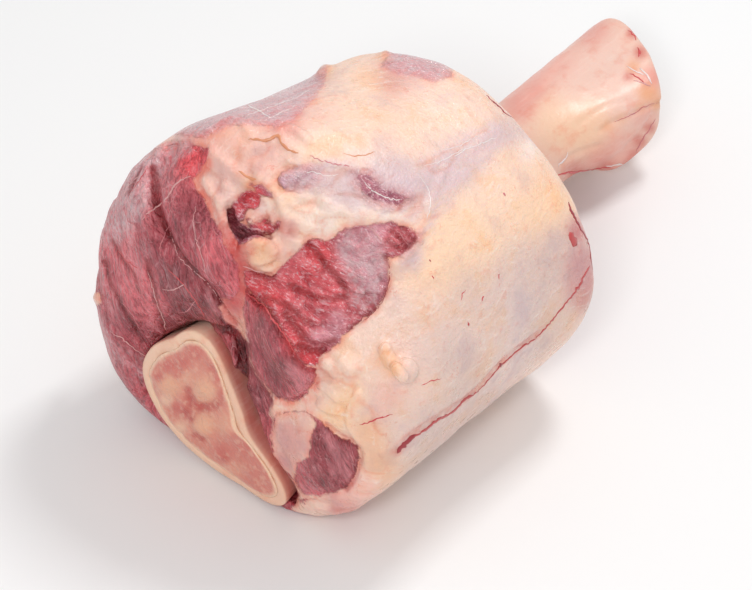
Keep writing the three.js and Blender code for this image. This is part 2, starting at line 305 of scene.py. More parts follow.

# %% [markdown]
# ## Regions
# The butcher's cuts bare some muscles, and fat covers the rest. Each such region is an outline in pixels
# of the photo, drawn corner by corner. A region's field is the distance inside its outline in millimetres.
# The
# same field sinks the surface and colours it. It only counts on the side that the camera sees.

# %% Name the regions of the near end
OUTLINES = {
    # the big muscle cut across, at the left of the face, down to the strip under the bone
    "face_muscle": [
        (131, 160), (150, 150), (169, 145), (189, 142), (198, 146), (209, 149), (206, 163), (198, 173),
        (193, 178), (194, 186), (203, 198), (211, 216), (221, 231), (223, 244), (234, 254), (241, 264),
        (242, 283), (243, 300), (238, 302), (230, 299), (221, 298), (228, 316), (238, 331), (250, 345),
        (250, 360), (244, 392), (262, 430), (285, 470), (297, 502), (290, 512), (250, 505), (200, 480),
        (140, 440), (90, 380), (70, 290), (75, 220), (100, 175)],
    "red_corner": [
        (170, 146), (189, 142), (198, 146), (209, 149), (206, 163), (198, 173), (190, 175), (188, 166),
        (180, 160), (170, 153)],
    "tongue": [
        (244, 285), (253, 296), (268, 308), (275, 318), (283, 333), (291, 343), (299, 359), (306, 366),
        (316, 369), (314, 381), (307, 393), (299, 400), (289, 401), (277, 398), (266, 387), (254, 371),
        (249, 355), (247, 336), (245, 318), (243, 300)],
    "strip": [
        (242, 352), (250, 362), (256, 374), (271, 393), (273, 400), (269, 413), (273, 420), (270, 437),
        (273, 455), (284, 470), (294, 482), (300, 496), (293, 500), (284, 480), (268, 452), (253, 432),
        (242, 400), (236, 372)],
    "stub": [
        (277, 414), (290, 412), (306, 412), (318, 420), (330, 430), (340, 438), (350, 441), (357, 446),
        (359, 456), (356, 470), (350, 485), (339, 491), (319, 496), (302, 494), (294, 481), (284, 469),
        (273, 455), (271, 437), (273, 425)],
    "stub_skin": [
        (277, 414), (290, 412), (306, 412), (317, 422), (311, 437), (311, 448), (308, 458), (298, 463),
        (294, 480), (284, 469), (273, 455), (271, 437), (273, 425)],
    "under_meat": [(299, 499), (319, 499), (334, 502), (332, 508), (314, 506), (302, 503)],
    # a thin pale film over the upper left of the big muscle, partly a real film and partly painted sheen
    "face_film_and_sheen": [
        (128, 162), (146, 150), (168, 143), (190, 140), (190, 152), (176, 160), (160, 176), (152, 196),
        (140, 214), (128, 236), (112, 246), (100, 236), (108, 212), (120, 192)],
    "red_fascia": [
        (226, 236), (238, 240), (244, 262), (246, 290), (243, 318), (237, 330), (226, 322), (218, 306),
        (232, 300), (240, 288), (238, 266), (228, 250)],
}

# %% Name the regions of the torn shoulder and the fat
OUTLINES.update({
    "torn_muscle": [
        (242, 270), (254, 271), (264, 274), (272, 277), (281, 268), (291, 257), (301, 248), (309, 239),
        (328, 241), (346, 228), (367, 225), (391, 222), (406, 227), (418, 234), (418, 240), (410, 249),
        (401, 256), (387, 257), (389, 279), (386, 293), (376, 309), (360, 321), (342, 336), (339, 343),
        (322, 356), (315, 366), (306, 365), (299, 357), (291, 342), (282, 330), (275, 317), (266, 306),
        (253, 295), (244, 284)],
    "torn_sheen": [
        (336, 244), (346, 235), (369, 230), (381, 243), (386, 262), (383, 285), (377, 298), (364, 313),
        (352, 304), (351, 286), (345, 269)],
    "pocket": [
        (253, 183), (260, 184), (270, 192), (276, 202), (281, 214), (279, 228), (271, 234), (257, 236),
        (246, 231), (234, 224), (227, 216), (233, 203), (242, 194)],
    "hole": [
        (226, 209), (233, 214), (239, 222), (256, 232), (266, 236), (252, 239), (239, 245), (233, 233),
        (228, 221)],
    "fat_lobe": [
        (241, 246), (259, 237), (272, 241), (279, 248), (282, 259), (272, 269), (261, 269), (249, 265),
        (241, 255)],
    "lilac_patch": [
        (278, 181), (282, 174), (294, 169), (308, 167), (320, 169), (318, 178), (309, 185), (295, 189),
        (284, 189)],
    "veiled_wedge": [
        (354, 173), (368, 172), (380, 183), (392, 190), (410, 196), (400, 206), (386, 205), (374, 202),
        (364, 197), (358, 186)],
    "silver_sheet": [
        (282, 172), (304, 163), (326, 161), (362, 167), (400, 172), (438, 152), (470, 132), (500, 124),
        (512, 138), (490, 160), (462, 184), (446, 208), (432, 232), (418, 258), (401, 270), (398, 262),
        (409, 250), (420, 236), (414, 222), (396, 214), (380, 214), (356, 208), (334, 196), (306, 192),
        (288, 192)],
    "rough_fat": [
        (319, 357), (339, 345), (350, 352), (362, 357), (361, 375), (357, 393), (347, 412), (336, 407),
        (319, 410), (312, 400), (314, 383), (316, 370)],
    "fat_fringe": [
        (204, 164), (212, 150), (236, 144), (262, 140), (286, 146), (300, 160), (316, 190), (340, 206),
        (352, 222), (330, 238), (308, 240), (292, 254), (278, 268), (262, 274), (244, 268), (234, 252),
        (222, 232), (212, 214), (202, 198), (194, 186), (196, 174)],
    "fat_band": [
        (357, 393), (372, 384), (389, 386), (390, 430), (389, 466), (379, 490), (356, 512), (336, 516),
        (316, 514), (303, 501), (319, 498), (347, 491), (358, 466), (361, 441), (347, 412)],
    "top_muscle": [
        (176, 132), (196, 112), (230, 96), (262, 84), (300, 70), (326, 64), (323, 84), (308, 104),
        (292, 118), (274, 126), (252, 122), (226, 124), (204, 136)],
    "far_patch": [
        (384, 66), (392, 40), (418, 40), (450, 58), (450, 76), (432, 80), (412, 74), (398, 72)],
})
print(len(OUTLINES), "outlines with", sum(len(v) for v in OUTLINES.values()), "corners")

# %% [markdown]
# Muscles part along seams, and torn fat stands up in folds and strings. Both are ropes laid along the
# surface: a seam is cut out of the field and a ridge is joined to it. Each has a path in pixels, a
# radius and a depth below the surface in millimetres. Carving them as real shape makes them catch light.

# %% Name the seams and the ridges
SEAMS = {
    "face_crevice": ([(153, 168), (155, 180), (155, 193), (157, 206), (162, 219), (168, 232), (175, 245),
                      (184, 258), (194, 269), (206, 282), (216, 296), (227, 312), (236, 325)], 1.1, 1.6),
    "bone_crevice": ([(232, 330), (241, 345), (243, 362), (245, 385), (251, 410), (261, 434), (274, 457),
                      (286, 479), (296, 498)], 2.0, 2.6),
    "bone_top": ([(168, 338), (180, 331), (197, 324), (212, 326), (225, 331), (238, 334)], 1.6, 1.8),
    "fat_rim": ([(206, 165), (196, 176), (196, 187), (206, 200), (214, 217), (224, 233), (236, 254),
                 (243, 268), (244, 284)], 1.3, 0.7),
    "tongue_edge": ([(244, 290), (256, 300), (270, 312), (281, 332), (292, 347), (300, 362), (308, 369),
                     (317, 372)], 1.4, 1.2),
    "tongue_gap": ([(316, 374), (313, 386), (304, 397), (292, 402), (279, 400), (266, 391)], 1.4, 1.2),
    "stub_gap": ([(326, 424), (340, 435), (352, 442), (360, 452), (359, 466), (354, 481), (346, 491)],
                 1.3, 1.2),
    "pocket_gap": ([(227, 213), (232, 224), (242, 234), (256, 238), (268, 237)], 2.0, 2.4),
    "lobe_gap": ([(241, 259), (250, 270), (262, 275), (272, 276)], 1.5, 1.4),
    "side_seam": ([(398, 452), (415, 434), (444, 414), (470, 396), (499, 366), (518, 350), (540, 333)],
                  1.4, 0.5),
    # splits of the torn muscle
    "tear_top": ([(308, 243), (318, 254), (326, 266), (337, 277), (345, 288)], 0.9, 0.7),
    "tear_long": ([(263, 296), (276, 300), (289, 306), (300, 317), (312, 325)], 1.1, 0.9),
    "tear_mid": ([(290, 286), (304, 292), (318, 299), (332, 299), (346, 296)], 0.9, 0.7),
    "tear_low": ([(286, 314), (296, 326), (304, 338), (318, 345), (334, 341)], 1.1, 0.9),
    "tear_end": ([(300, 346), (310, 350), (322, 351)], 1.0, 0.8),
    "tear_right": ([(386, 258), (390, 270), (388, 286), (380, 302), (366, 317), (350, 330)], 1.0, 0.8),
    "tear_corner": ([(388, 240), (394, 246), (404, 249), (415, 243)], 1.0, 0.9),
    "tear_corner_2": ([(392, 231), (400, 238), (408, 246)], 0.8, 0.6),
    "tear_corner_3": ([(402, 227), (409, 234), (415, 240)], 0.8, 0.6),
    # splits and furrows of the cut face
    "face_split": ([(140, 168), (134, 180), (128, 192)], 0.8, 0.5),
    "face_furrow": ([(112, 242), (120, 258), (131, 272), (138, 290)], 0.9, 0.4),
    "face_furrow_2": ([(104, 262), (110, 284), (122, 308), (136, 330)], 0.9, 0.4),
    "face_furrow_3": ([(146, 262), (152, 286), (158, 310), (166, 332)], 0.9, 0.4),
}
RIDGES = {
    "fat_string": ([(230, 120), (240, 122), (246, 128), (252, 138), (262, 139), (272, 137), (279, 133),
                    (284, 143), (292, 149), (299, 152), (301, 162)], 1.5, 0.2),
    "fat_string_2": ([(204, 133), (218, 124), (234, 119), (250, 121), (262, 126)], 1.1, 0.3),
    "fat_fold": ([(279, 131), (290, 128), (300, 133), (308, 141)], 1.8, 0.0),
    "fringe_fold": ([(208, 186), (216, 196), (222, 208), (224, 222)], 1.8, 0.5),
    "fringe_fold_2": ([(212, 152), (222, 160), (228, 172), (226, 186)], 2.0, 0.8),
    "fringe_fold_3": ([(284, 196), (294, 206), (306, 212), (322, 214), (340, 210)], 1.4, 0.5),
    "fringe_fold_4": ([(286, 212), (296, 222), (310, 226), (326, 228)], 1.4, 0.5),
    "fringe_fold_5": ([(282, 232), (292, 240), (302, 242)], 1.5, 0.4),
    "fringe_fold_6": ([(300, 196), (316, 200), (334, 206), (350, 216)], 1.1, 0.4),
    "veil_edge": ([(308, 156), (324, 161), (340, 165), (362, 171), (378, 183), (392, 192), (411, 197)],
                  1.1, 0.5),
    "veil_edge_2": ([(296, 152), (312, 158), (330, 163), (350, 168)], 0.9, 0.4),
    "sheet_edge": ([(420, 206), (423, 222), (419, 238), (410, 251), (400, 266)], 1.3, 0.4),
    "sheet_line": ([(448, 163), (440, 180), (432, 200), (426, 220)], 1.1, 0.6),
    "pocket_flap": ([(228, 166), (236, 172), (245, 180), (254, 183), (259, 178)], 2.2, 0.0),
    "pocket_lip": ([(268, 184), (276, 194), (282, 206), (285, 220), (284, 234)], 2.0, 0.4),
    "pocket_lump": ([(236, 202), (240, 206), (240, 212)], 2.2, 0.0),
    "pocket_lump_2": ([(258, 190), (264, 194), (270, 200)], 2.2, 0.2),
    "pocket_lump_3": ([(266, 206), (272, 212), (275, 220)], 2.0, 0.2),
    "lobe_top": ([(246, 246), (256, 242), (266, 246), (272, 252)], 3.0, 0.4),
    "fat_nub_top": ([(385, 349), (387, 356), (391, 363)], 3.0, -2.4),
    "fat_nub_low": ([(391, 361), (397, 369), (403, 377)], 2.6, -2.8),
    "left_sliver": ([(101, 298), (95, 297), (87, 293)], 2.2, 3.0),
    "band_fold": ([(358, 394), (350, 410), (350, 424), (360, 440)], 2.0, 0.6),
    "rough_lump": ([(326, 362), (332, 366), (336, 372)], 3.0, 0.6),
    "rough_lump_2": ([(344, 362), (350, 368), (350, 378)], 3.0, 0.6),
    "rough_lump_3": ([(324, 384), (332, 388), (338, 396)], 3.0, 0.6),
    "rough_lump_4": ([(322, 404), (330, 408), (338, 410)], 2.6, 0.5),
    "top_tag": ([(321, 73), (325, 68), (330, 70)], 1.8, 0.2),
    "shoulder_tag": ([(388, 60), (384, 56), (388, 52)], 1.5, 0.8),
}
print(len(SEAMS), "seams,", len(RIDGES), "ridges")

# %% Define the region fields
MIDDLE = np.array([BARREL_LENGTH / 2, CENTRE_Y[1], HALF_HEIGHTS[1] - SAG])


def inside(pixels, outline):
    """Distance in pixels from an outline, positive inside it."""
    best = np.full(len(pixels), np.inf)
    odd = np.zeros(len(pixels), bool)
    corners = np.asarray(outline, float)
    for a, b in zip(corners, np.roll(corners, -1, axis=0)):
        edge = b - a
        from_a = pixels - a
        t = np.clip(from_a @ edge / (edge @ edge), 0.0, 1.0)
        best = np.minimum(best, np.linalg.norm(from_a - t[:, None] * edge, axis=1))
        crosses = (a[1] > pixels[:, 1]) != (b[1] > pixels[:, 1])
        reach = a[0] + (pixels[:, 1] - a[1]) * edge[0] / (edge[1] if edge[1] else 1e-9)
        odd ^= crosses & (pixels[:, 0] < reach)
    return np.where(odd, best, -best)


def seen_depth(points):
    """Above zero on the side that the camera sees, and a soft distance past it in millimetres."""
    return (points - MIDDLE) @ BACK * 0.5 + 2.0


OUTSIDE = -9.0                         # a region's field far from it, mm


def region(name, points, pixels):
    """A region's field in millimetres, positive inside it."""
    corners = np.asarray(OUTLINES[name], float)
    reach = -OUTSIDE * PIXELS_PER_MM
    near = np.all((pixels > corners.min(axis=0) - reach) & (pixels < corners.max(axis=0) + reach), axis=1)
    near &= seen_depth(points) > OUTSIDE
    out = np.full(len(points), OUTSIDE)
    within = np.minimum(inside(pixels[near], corners) / PIXELS_PER_MM, seen_depth(points[near]))
    out[near] = np.maximum(within, OUTSIDE)
    return out


print("inside the face muscle at pixel (180, 250), mm:",
      inside(np.array([[180.0, 250.0]]), OUTLINES["face_muscle"]).round(1) / PIXELS_PER_MM)

# %% [markdown]
# ## The meat's form
# The joint is a barrel with two domed ends, muscle bellies that swell out of it and a shoulder where the
# fat cover has been torn off. It could be sculpted, but then nobody could change a size later. Here the
# barrel is a section along X, the bellies are lobes blended on, and the shoulder is a plane cut.

# %% Define the barrel and the bellies
BELLIES = (
    ((16, 47, 94), (23, 33, 53), 0, 9),        # outer muscle of the face
    ((14, 22, 116), (19, 22, 34), 20, 8),      # inner muscle of the face
    ((8, 55, 46), (16, 38, 46), 0, 8),         # heel beside the bone
    ((8, -19, 101), (14, 15, 27), -30, 4),     # cut muscle tongue
    ((7, -36, 50), (14, 18, 25), 0, 4),        # muscle stub at the lower right
    ((114, 10, 127), (28, 40, 22), 0, 14),     # shoulder at the far end
    ((19, -68, 104), (5.5, 5, 6), 0, 2),       # loose nub of fat
)
SHOULDER_POINT = np.array([0.0, 0.0, 124.0])
SHOULDER_NORMAL = np.array([-0.718, -0.393, 0.575])
SETBACK_X, SETBACK_SLOPE = 1.5, 0.9    # the meat slopes back towards the bone's sawn end
VALLEYS = (
    ([(18, 60, 152), (8, 57, 139), (0, 50, 130), (-6, 41, 123), (-8, 32, 117), (-8, 17, 110), (-6, 3, 99)],
     3.5, 5),
    ([(-3, 8, 92), (-5, 0, 76), (-7, -8, 60), (-8, -18, 41), (-8, -26, 27)], 5, 6),
)


def barrel(points):
    x, y, z = points.T
    lean = FACE_LEAN * (z - FACE_MIDDLE) + FACE_TURN * y
    u = np.clip((x - lean) / BARREL_LENGTH, -0.15, 1.15)
    half_height = through_three(u, HALF_HEIGHTS)
    across = (y - through_three(u, CENTRE_Y)) / through_three(u, HALF_WIDTHS)
    up = (z - half_height + SAG) / half_height
    ratio = (np.abs(across) ** SECTION_POWER + np.abs(up) ** SECTION_POWER) ** (1 / SECTION_POWER)
    swell = 1.0 - np.minimum(ratio, 1.0) ** 2
    length = BARREL_LENGTH + (FACE_DOME + FAR_DOME) * swell
    along = 2.0 * (x - lean + FACE_DOME * swell) / length - 1.0
    near_rim = RIM_LEFT + (RIM_RIGHT - RIM_LEFT) * smoothstep(-0.2, 0.5, -across)
    rim = np.where(along < 0, near_rim, RIM_FAR)
    return ((np.abs(along) ** rim + ratio ** rim) ** (1 / rim) - 1.0) * FIELD_SCALE


def plain_meat(points):
    """The meat's broad form, without the fine relief."""
    d = barrel(points)
    d = trim(d, (points - SHOULDER_POINT) @ SHOULDER_NORMAL, 14)
    for centre, radii, turn, fillet in BELLIES:
        d = blend(d, lobe(points, centre, radii, turn), fillet)
    for path, radius, fillet in VALLEYS:
        d = trim(d, -rope(points, path, radius), fillet)
    cone = points[:, 0] - SETBACK_X + SETBACK_SLOPE * np.maximum(bone_field(points), 0.0)
    return trim(d, -cone / math.hypot(1.0, SETBACK_SLOPE), 3)


print("broad form at the barrel's middle:", plain_meat(MIDDLE[None]).round(1))

# %% [markdown]
# ## The fine relief
# Cut and torn muscle lies deeper than the fat round it, so its region is sunk below the broad form, and
# lobes of fat are raised. Noise gives the fat its soft lumps and the muscle its coarse fibres. This is
# real shape too, because a bump in the material alone would leave smooth edges.

# %% Define the relief
SUNK = {                       # millimetres below the broad form, and the width of the step
    "face_muscle": (0.7, 1.2),
    "red_corner": (0.5, 1.2),
    "torn_muscle": (1.8, 2.2),
    "tongue": (-1.4, 2.4),
    "strip": (2.2, 1.4),
    "stub": (-1.0, 2.6),
    "pocket": (2.8, 3.0),
    "hole": (3.2, 2.2),
    "fat_lobe": (-2.6, 3.0),
    "lilac_patch": (0.5, 1.6),
    "veiled_wedge": (0.6, 1.2),
    "fat_band": (-1.4, 2.6),
    "under_meat": (1.4, 1.2),
}
FIBRE_SIZE = (3.4, 14.0, 3.4)  # a fibre of the torn muscle runs along Y
GRAIN_SIZE = (3.0, 3.0, 12.0)  # the face muscle's folds run up and down
ROUGHNESS = {                  # inside a region: (amount in mm, size in mm, seed) of each noise
    "torn_muscle": ((1.5, FIBRE_SIZE, 4), (1.4, 11, 5), (0.9, 4.2, 12)),
    "rough_fat": ((0.9, 3.6, 7),),
    "pocket": ((1.1, 3.6, 9),),
    "face_muscle": ((1.0, 14, 10), (0.6, GRAIN_SIZE, 11)),
    "silver_sheet": ((0.6, (24, 3, 3), 13),),
    "fat_fringe": ((1.0, 8, 14), (0.6, 3.4, 15)),
    "stub": ((0.9, 5, 16),),
    "fat_lobe": ((1.3, 6, 17), (0.6, 3, 18)),
}
FOLDS = {                      # inside a region: (amount, size, seed) of lumps with creases between
    "rough_fat": (1.5, 8.0, 51),
    "pocket": (1.7, 7.0, 52),
    "fat_fringe": (1.1, (10.0, 10.0, 7.0), 53),
    "torn_muscle": (0.9, (6.0, 15.0, 6.0), 55),
    "fat_band": (0.5, 12.0, 56),
    "silver_sheet": (0.3, (30.0, 8.0, 8.0), 57),
    "fat_lobe": (2.2, 7.5, 58),
}
CREASE_SHARPNESS = 3.4
BROAD_NOISES = ((1.0, 34, 1), (0.45, 13, 2), (0.16, 5, 3))    # amount, size and seed, all over the meat


def fold_noise(points, name):
    """0 in the creases of a region's folds and about 1 on the lumps."""
    _, size, seed = FOLDS[name]
    return np.minimum(CREASE_SHARPNESS * np.abs(noise(points, size, seed)), 1.4)


def soft_share(name, points, pixels):
    """1 well inside a region and 0 outside it, with a soft edge."""
    return smoothstep(-0.5, 2.0, region(name, points, pixels))


def relief(points):
    """How far the surface is sunk, in millimetres."""
    pixels = to_pixel(points)
    total = sum(amount * noise(points, size, seed) for amount, size, seed in BROAD_NOISES)
    for name, (depth, width) in SUNK.items():
        total += depth * smoothstep(-width, width, region(name, points, pixels))
    for name, noises in ROUGHNESS.items():
        share = soft_share(name, points, pixels)
        here = share > 0
        for amount, size, seed in noises:
            total[here] += amount * share[here] * noise(points[here], size, seed)
    for name, (amount, _, _) in FOLDS.items():
        share = soft_share(name, points, pixels)
        here = share > 0
        total[here] += amount * share[here] * (0.75 - fold_noise(points[here], name))
    return total


def shaped_meat(points):
    return plain_meat(points) + relief(points)


CAREFUL = 0.6                          # a ray goes this share of the distance to the surface
NEAR_CAMERA = 1250.0                   # rays start this far from the camera, still in front of the joint


def find_on(field, pixels, start, steps):
    """Where the rays of some pixels first meet a field, from a start distance along each ray."""
    rays = pixel_rays(pixels)
    t = np.zeros(len(rays)) + start
    for _ in range(steps):
        t += np.clip(field(EYE + rays * t[:, None]) * CAREFUL, -4.0, 30.0)
    return t


def laid_paths(table, step=6.0):
    """Each path of pixels laid on the shaped meat, and sunk along the rays by its own depth."""
    lines = {name: curve(pixels, step) for name, (pixels, _, _) in table.items()}
    every = np.vstack(list(lines.values()))
    rays = pixel_rays(every)
    t = find_on(plain_meat, every, NEAR_CAMERA, 70)
    t = find_on(shaped_meat, every, t, 25)
    depth = np.concatenate([np.full(len(lines[name]), table[name][2]) for name in table])
    at = EYE + rays * (t + depth)[:, None]
    ends = np.cumsum([len(line) for line in lines.values()])[:-1]
    return {name: (part, table[name][1]) for name, part in zip(table, np.split(at, ends))}


seam_paths = laid_paths({n: (p, r, d - r) for n, (p, r, d) in SEAMS.items()})
ridge_paths = laid_paths(RIDGES)
print("laid", len(seam_paths), "seams and", len(ridge_paths), "ridges")

# %% [markdown]
# The field is worked out on a grid of cells and becomes a mesh of four-sided faces. A subdivided cage
# with displacement would stretch at the seams, and a grid has even faces everywhere. To save time, the
# relief is worked out only where the surface can be, and the steps are finest where the cuts are.

# %% Make the meat's mesh
GRID_LOW = np.array([-20.0, -92.0, -3.0])
GRID_HIGH = np.array([162.0, 112.0, 174.0])
NEAR_BARREL = 24.0
NEAR_SURFACE = 8.0
SEAM_FILLET = 1.6
BONE_ROOM = 0.5                        # gap between the meat and the bone


def near_path(points, path, reach):
    """True for points in the box of a path, grown by a reach."""
    low, high = path.min(axis=0) - reach, path.max(axis=0) + reach
    return np.all((points > low) & (points < high), axis=1)


def full_meat(points):
    d = shaped_meat(points)
    for table, cuts in ((seam_paths, True), (ridge_paths, False)):
        for path, radius in table.values():
            near = near_path(points, path, radius + 4)
            if near.any():
                to_path = rope(points[near], path, radius)
                if cuts:
                    d[near] = trim(d[near], -to_path, SEAM_FILLET)
                else:
                    d[near] = blend(d[near], to_path, SEAM_FILLET)
    return np.maximum(d, -points[:, 2])


def axis_points(low, high, fine_to, coarse_from):
    """Points with fine steps below one place, coarse steps above another and a smooth change between."""
    points = [low]
    while points[-1] < high:
        share = float(smoothstep(fine_to, coarse_from, np.array(points[-1])))
        points.append(points[-1] + FINE_STEP + (COARSE_STEP - FINE_STEP) * share)
    return np.array(points)


axes = [axis_points(low, high, fine, coarse)
        for low, high, fine, coarse in zip(GRID_LOW, GRID_HIGH, FINE_TO, COARSE_FROM)]
grid = np.stack(np.meshgrid(*axes, indexing="ij"), axis=-1)
grid_shape = grid.shape[:3]
grid = grid.reshape(-1, 3)
values = barrel(grid)
band = np.abs(values) < NEAR_BARREL
values[band] = plain_meat(grid[band])
band &= np.abs(values) < NEAR_SURFACE
values[band] = full_meat(grid[band])
values[~band] = np.maximum(values[~band], -grid[~band][:, 2])
round_bone = np.all((grid[:, 1:] > (-45, -5)) & (grid[:, 1:] < (90, 105)), axis=1)
values[round_bone] = np.maximum(values[round_bone], BONE_ROOM - bone_field(grid[round_bone]))
print("grid", grid_shape, "with", int(band.sum()), "cells near the surface")

# %% Turn the field into a mesh
volume = openvdb.FloatGrid(NEAR_SURFACE)
volume.copyFromArray(np.clip(values, -NEAR_SURFACE, NEAR_SURFACE).reshape(grid_shape).astype(np.float32))
meat_points, meat_quads = volume.convertToQuads(isovalue=0.0)
cells = meat_points.astype(float)
meat_points = np.stack([np.interp(cells[:, i], np.arange(len(axes[i])), axes[i]) for i in range(3)], axis=1)
meat_quads = meat_quads.astype(int)
print("meat mesh:", len(meat_points), "points,", len(meat_quads), "faces")

# %% [markdown]
# ## What each place on the meat is made of, and where shade is painted
# Every point of the mesh carries distances: how far it is inside bare muscle, inside a film and from
# a crevice, and how deep it lies in a fold's crease. The last two set painted shade. An image could say the
# same, but it would need flattening out. The shader turns a distance into a crisp edge that is finer than the
# mesh.

# %% Find muscle, film, and the painted shade of crevices and creases
FLESH_REGIONS = ("face_muscle", "torn_muscle", "tongue", "stub", "strip", "hole", "veiled_wedge",
                 "under_meat", "lilac_patch", "top_muscle", "far_patch")
CUT_REGIONS = ("face_muscle", "tongue", "stub", "under_meat", "strip")
FILM_REGIONS = ("silver_sheet", "top_muscle", "far_patch", "torn_sheen", "face_film_and_sheen")
NEAR_EDGE_X, FAR_EDGE_X = 19.0, 131.0
FAR_RIM = 0.86                         # the fat's share of the far face starts here

meat_pixels = to_pixel(meat_points)
seen = seen_depth(meat_points)


def largest(names):
    return np.max([region(name, meat_points, meat_pixels) for name in names], axis=0)


x, y, z = meat_points.T
station = np.clip(x / BARREL_LENGTH, 0, 1)
flat = (y - through_three(station, CENTRE_Y)) / through_three(station, HALF_WIDTHS)
tall = (z - through_three(station, HALF_HEIGHTS) + SAG) / through_three(station, HALF_HEIGHTS)
share = np.hypot(flat, tall)
wander = 3.0 * noise(meat_points, 22, 21)
hidden_near = np.minimum(NEAR_EDGE_X + wander - x, 2.0 - seen)
far_face = np.minimum(x - FAR_EDGE_X - wander, (FAR_RIM - share) * 80.0 + wander)
pocket_lumps = 5.0 * noise(meat_points, 5.4, 23) - 0.1
pocket_flesh = np.minimum(region("pocket", meat_points, meat_pixels), pocket_lumps)
flesh = np.maximum.reduce([largest(FLESH_REGIONS), pocket_flesh, hidden_near, far_face])
fat_fields = np.maximum.reduce([region("fat_lobe", meat_points, meat_pixels),
                             region("fat_band", meat_points, meat_pixels),
                             region("rough_fat", meat_points, meat_pixels),
                             region("stub_skin", meat_points, meat_pixels),
                             region("red_fascia", meat_points, meat_pixels)])
flesh = np.minimum(flesh, -fat_fields)
hidden_film = np.minimum(14.0 * noise(meat_points, (60, 34, 34), 22) - 5.0, -4.0 - seen)
film = np.maximum(largest(FILM_REGIONS), hidden_film)
film = np.minimum(film, 0.5 - region("veiled_wedge", meat_points, meat_pixels))
cut = np.maximum(largest(CUT_REGIONS), np.maximum(hidden_near, far_face))


def path_distance(table, names, reach=9.0):
    """Distance from the sides of some laid ropes."""
    best = np.full(len(meat_points), reach)
    for path, radius in (table[name] for name in names):
        near = near_path(meat_points, path, reach)
        best[near] = np.minimum(best[near], rope(meat_points[near], path, radius))
    return best


# Seams listed here get no painted shade. Along all other seams the colour is darkened as painted shade.
UNSHADED_SEAMS = ("fat_rim", "side_seam", "tongue_gap")
crevice_shade = path_distance(seam_paths, [name for name in seam_paths if name not in UNSHADED_SEAMS])
nubs = path_distance(ridge_paths, ("fat_nub_top", "fat_nub_low", "left_sliver", "top_tag", "shoulder_tag"))
flesh = np.minimum(flesh, nubs - 1.0)
stain = path_distance(seam_paths, ("side_seam", "fat_rim", "bone_crevice", "tongue_gap"))
stain = np.minimum(stain, 2.5 - region("red_fascia", meat_points, meat_pixels))
# The share of painted shade in the creases between the lumps of each region's folds.
crease_shade = np.zeros(len(meat_points))
for name in FOLDS:
    here = soft_share(name, meat_points, meat_pixels)
    crease_shade = np.maximum(crease_shade, here * smoothstep(0.45, 0.0, fold_noise(meat_points, name)))
print("muscle covers", round(float((flesh > 0).mean()) * 100), "% of the meat's points")

# %% [markdown]
# ## Colour spots
# Fat on the real joint drifts from cream to grey and lilac, and muscle from bright red to wine. One
# colour each would look like plastic, and a painted image isn't wanted. So fat and muscle each have a
# few tones, and every tone has soft round spots, placed by a pixel of the photo with a radius in pixels.
# Colours are as seen on a screen, from 0 to 255. Between the spots the plain tone shows.

# %% Name the tones of the fat and the muscle
FAT_TONES = {
    "plain": ((244, 208, 190), ()),
    "cream": ((248, 211, 188), ((500, 196, 30), (420, 100, 50), (350, 105, 36), (345, 380, 16),
        (300, 205, 18), (335, 150, 22), (548, 165, 16), (262, 262, 8))),
    "butter": ((252, 210, 174), ((470, 232, 48), (540, 205, 26), (440, 270, 24), (348, 396, 12),
        (334, 420, 12), (505, 155, 12))),
    "ochre": ((240, 182, 138), ((372, 432, 14), (380, 460, 16), (262, 254, 12), (388, 358, 7),
        (394, 368, 7), (324, 72, 8), (385, 56, 7), (251, 182, 7))),
    "pale": ((234, 204, 192), ((480, 345, 45), (430, 330, 30), (400, 430, 26), (560, 320, 20))),
    "lilac": ((204, 180, 186), ((462, 168, 20), (410, 186, 22), (340, 178, 22), (500, 140, 16),
        (440, 178, 18), (386, 172, 18), (416, 262, 8))),
    "pink": ((240, 188, 174), ((222, 158, 22), (262, 156, 22), (300, 404, 14), (345, 484, 12),
        (362, 490, 14), (212, 190, 12), (240, 140, 16), (196, 134, 14), (388, 400, 12), (380, 416, 8),
        (320, 110, 14), (276, 250, 8))),
    "rosy": ((224, 144, 136), ((286, 118, 16), (345, 508, 12), (226, 236, 9), (230, 316, 9),
        (206, 132, 18), (290, 228, 8), (250, 250, 6))),
    "white": ((250, 230, 220), ((320, 215, 20), (292, 406, 12), (530, 150, 10), (262, 212, 9),
        (246, 206, 7), (390, 213, 12), (360, 204, 8))),
    "stain": ((200, 62, 68), ((577, 232, 7), (234, 250, 7), (240, 272, 8), (236, 300, 9),
        (232, 240, 9), (240, 260, 9), (240, 288, 9), (232, 306, 9))),
    "mauve": ((206, 138, 140), ((584, 285, 16), (580, 262, 14), (404, 70, 22), (392, 84, 12),
        (592, 262, 18), (586, 300, 14), (580, 226, 10))),
    "grey": ((216, 190, 184), ((556, 254, 26), (520, 262, 22), (520, 300, 30), (470, 290, 22),
        (450, 350, 22), (430, 440, 26), (480, 400, 26), (540, 350, 26))),
    "skin": ((220, 154, 150), ((290, 426, 12), (292, 444, 13), (284, 462, 9))),
}

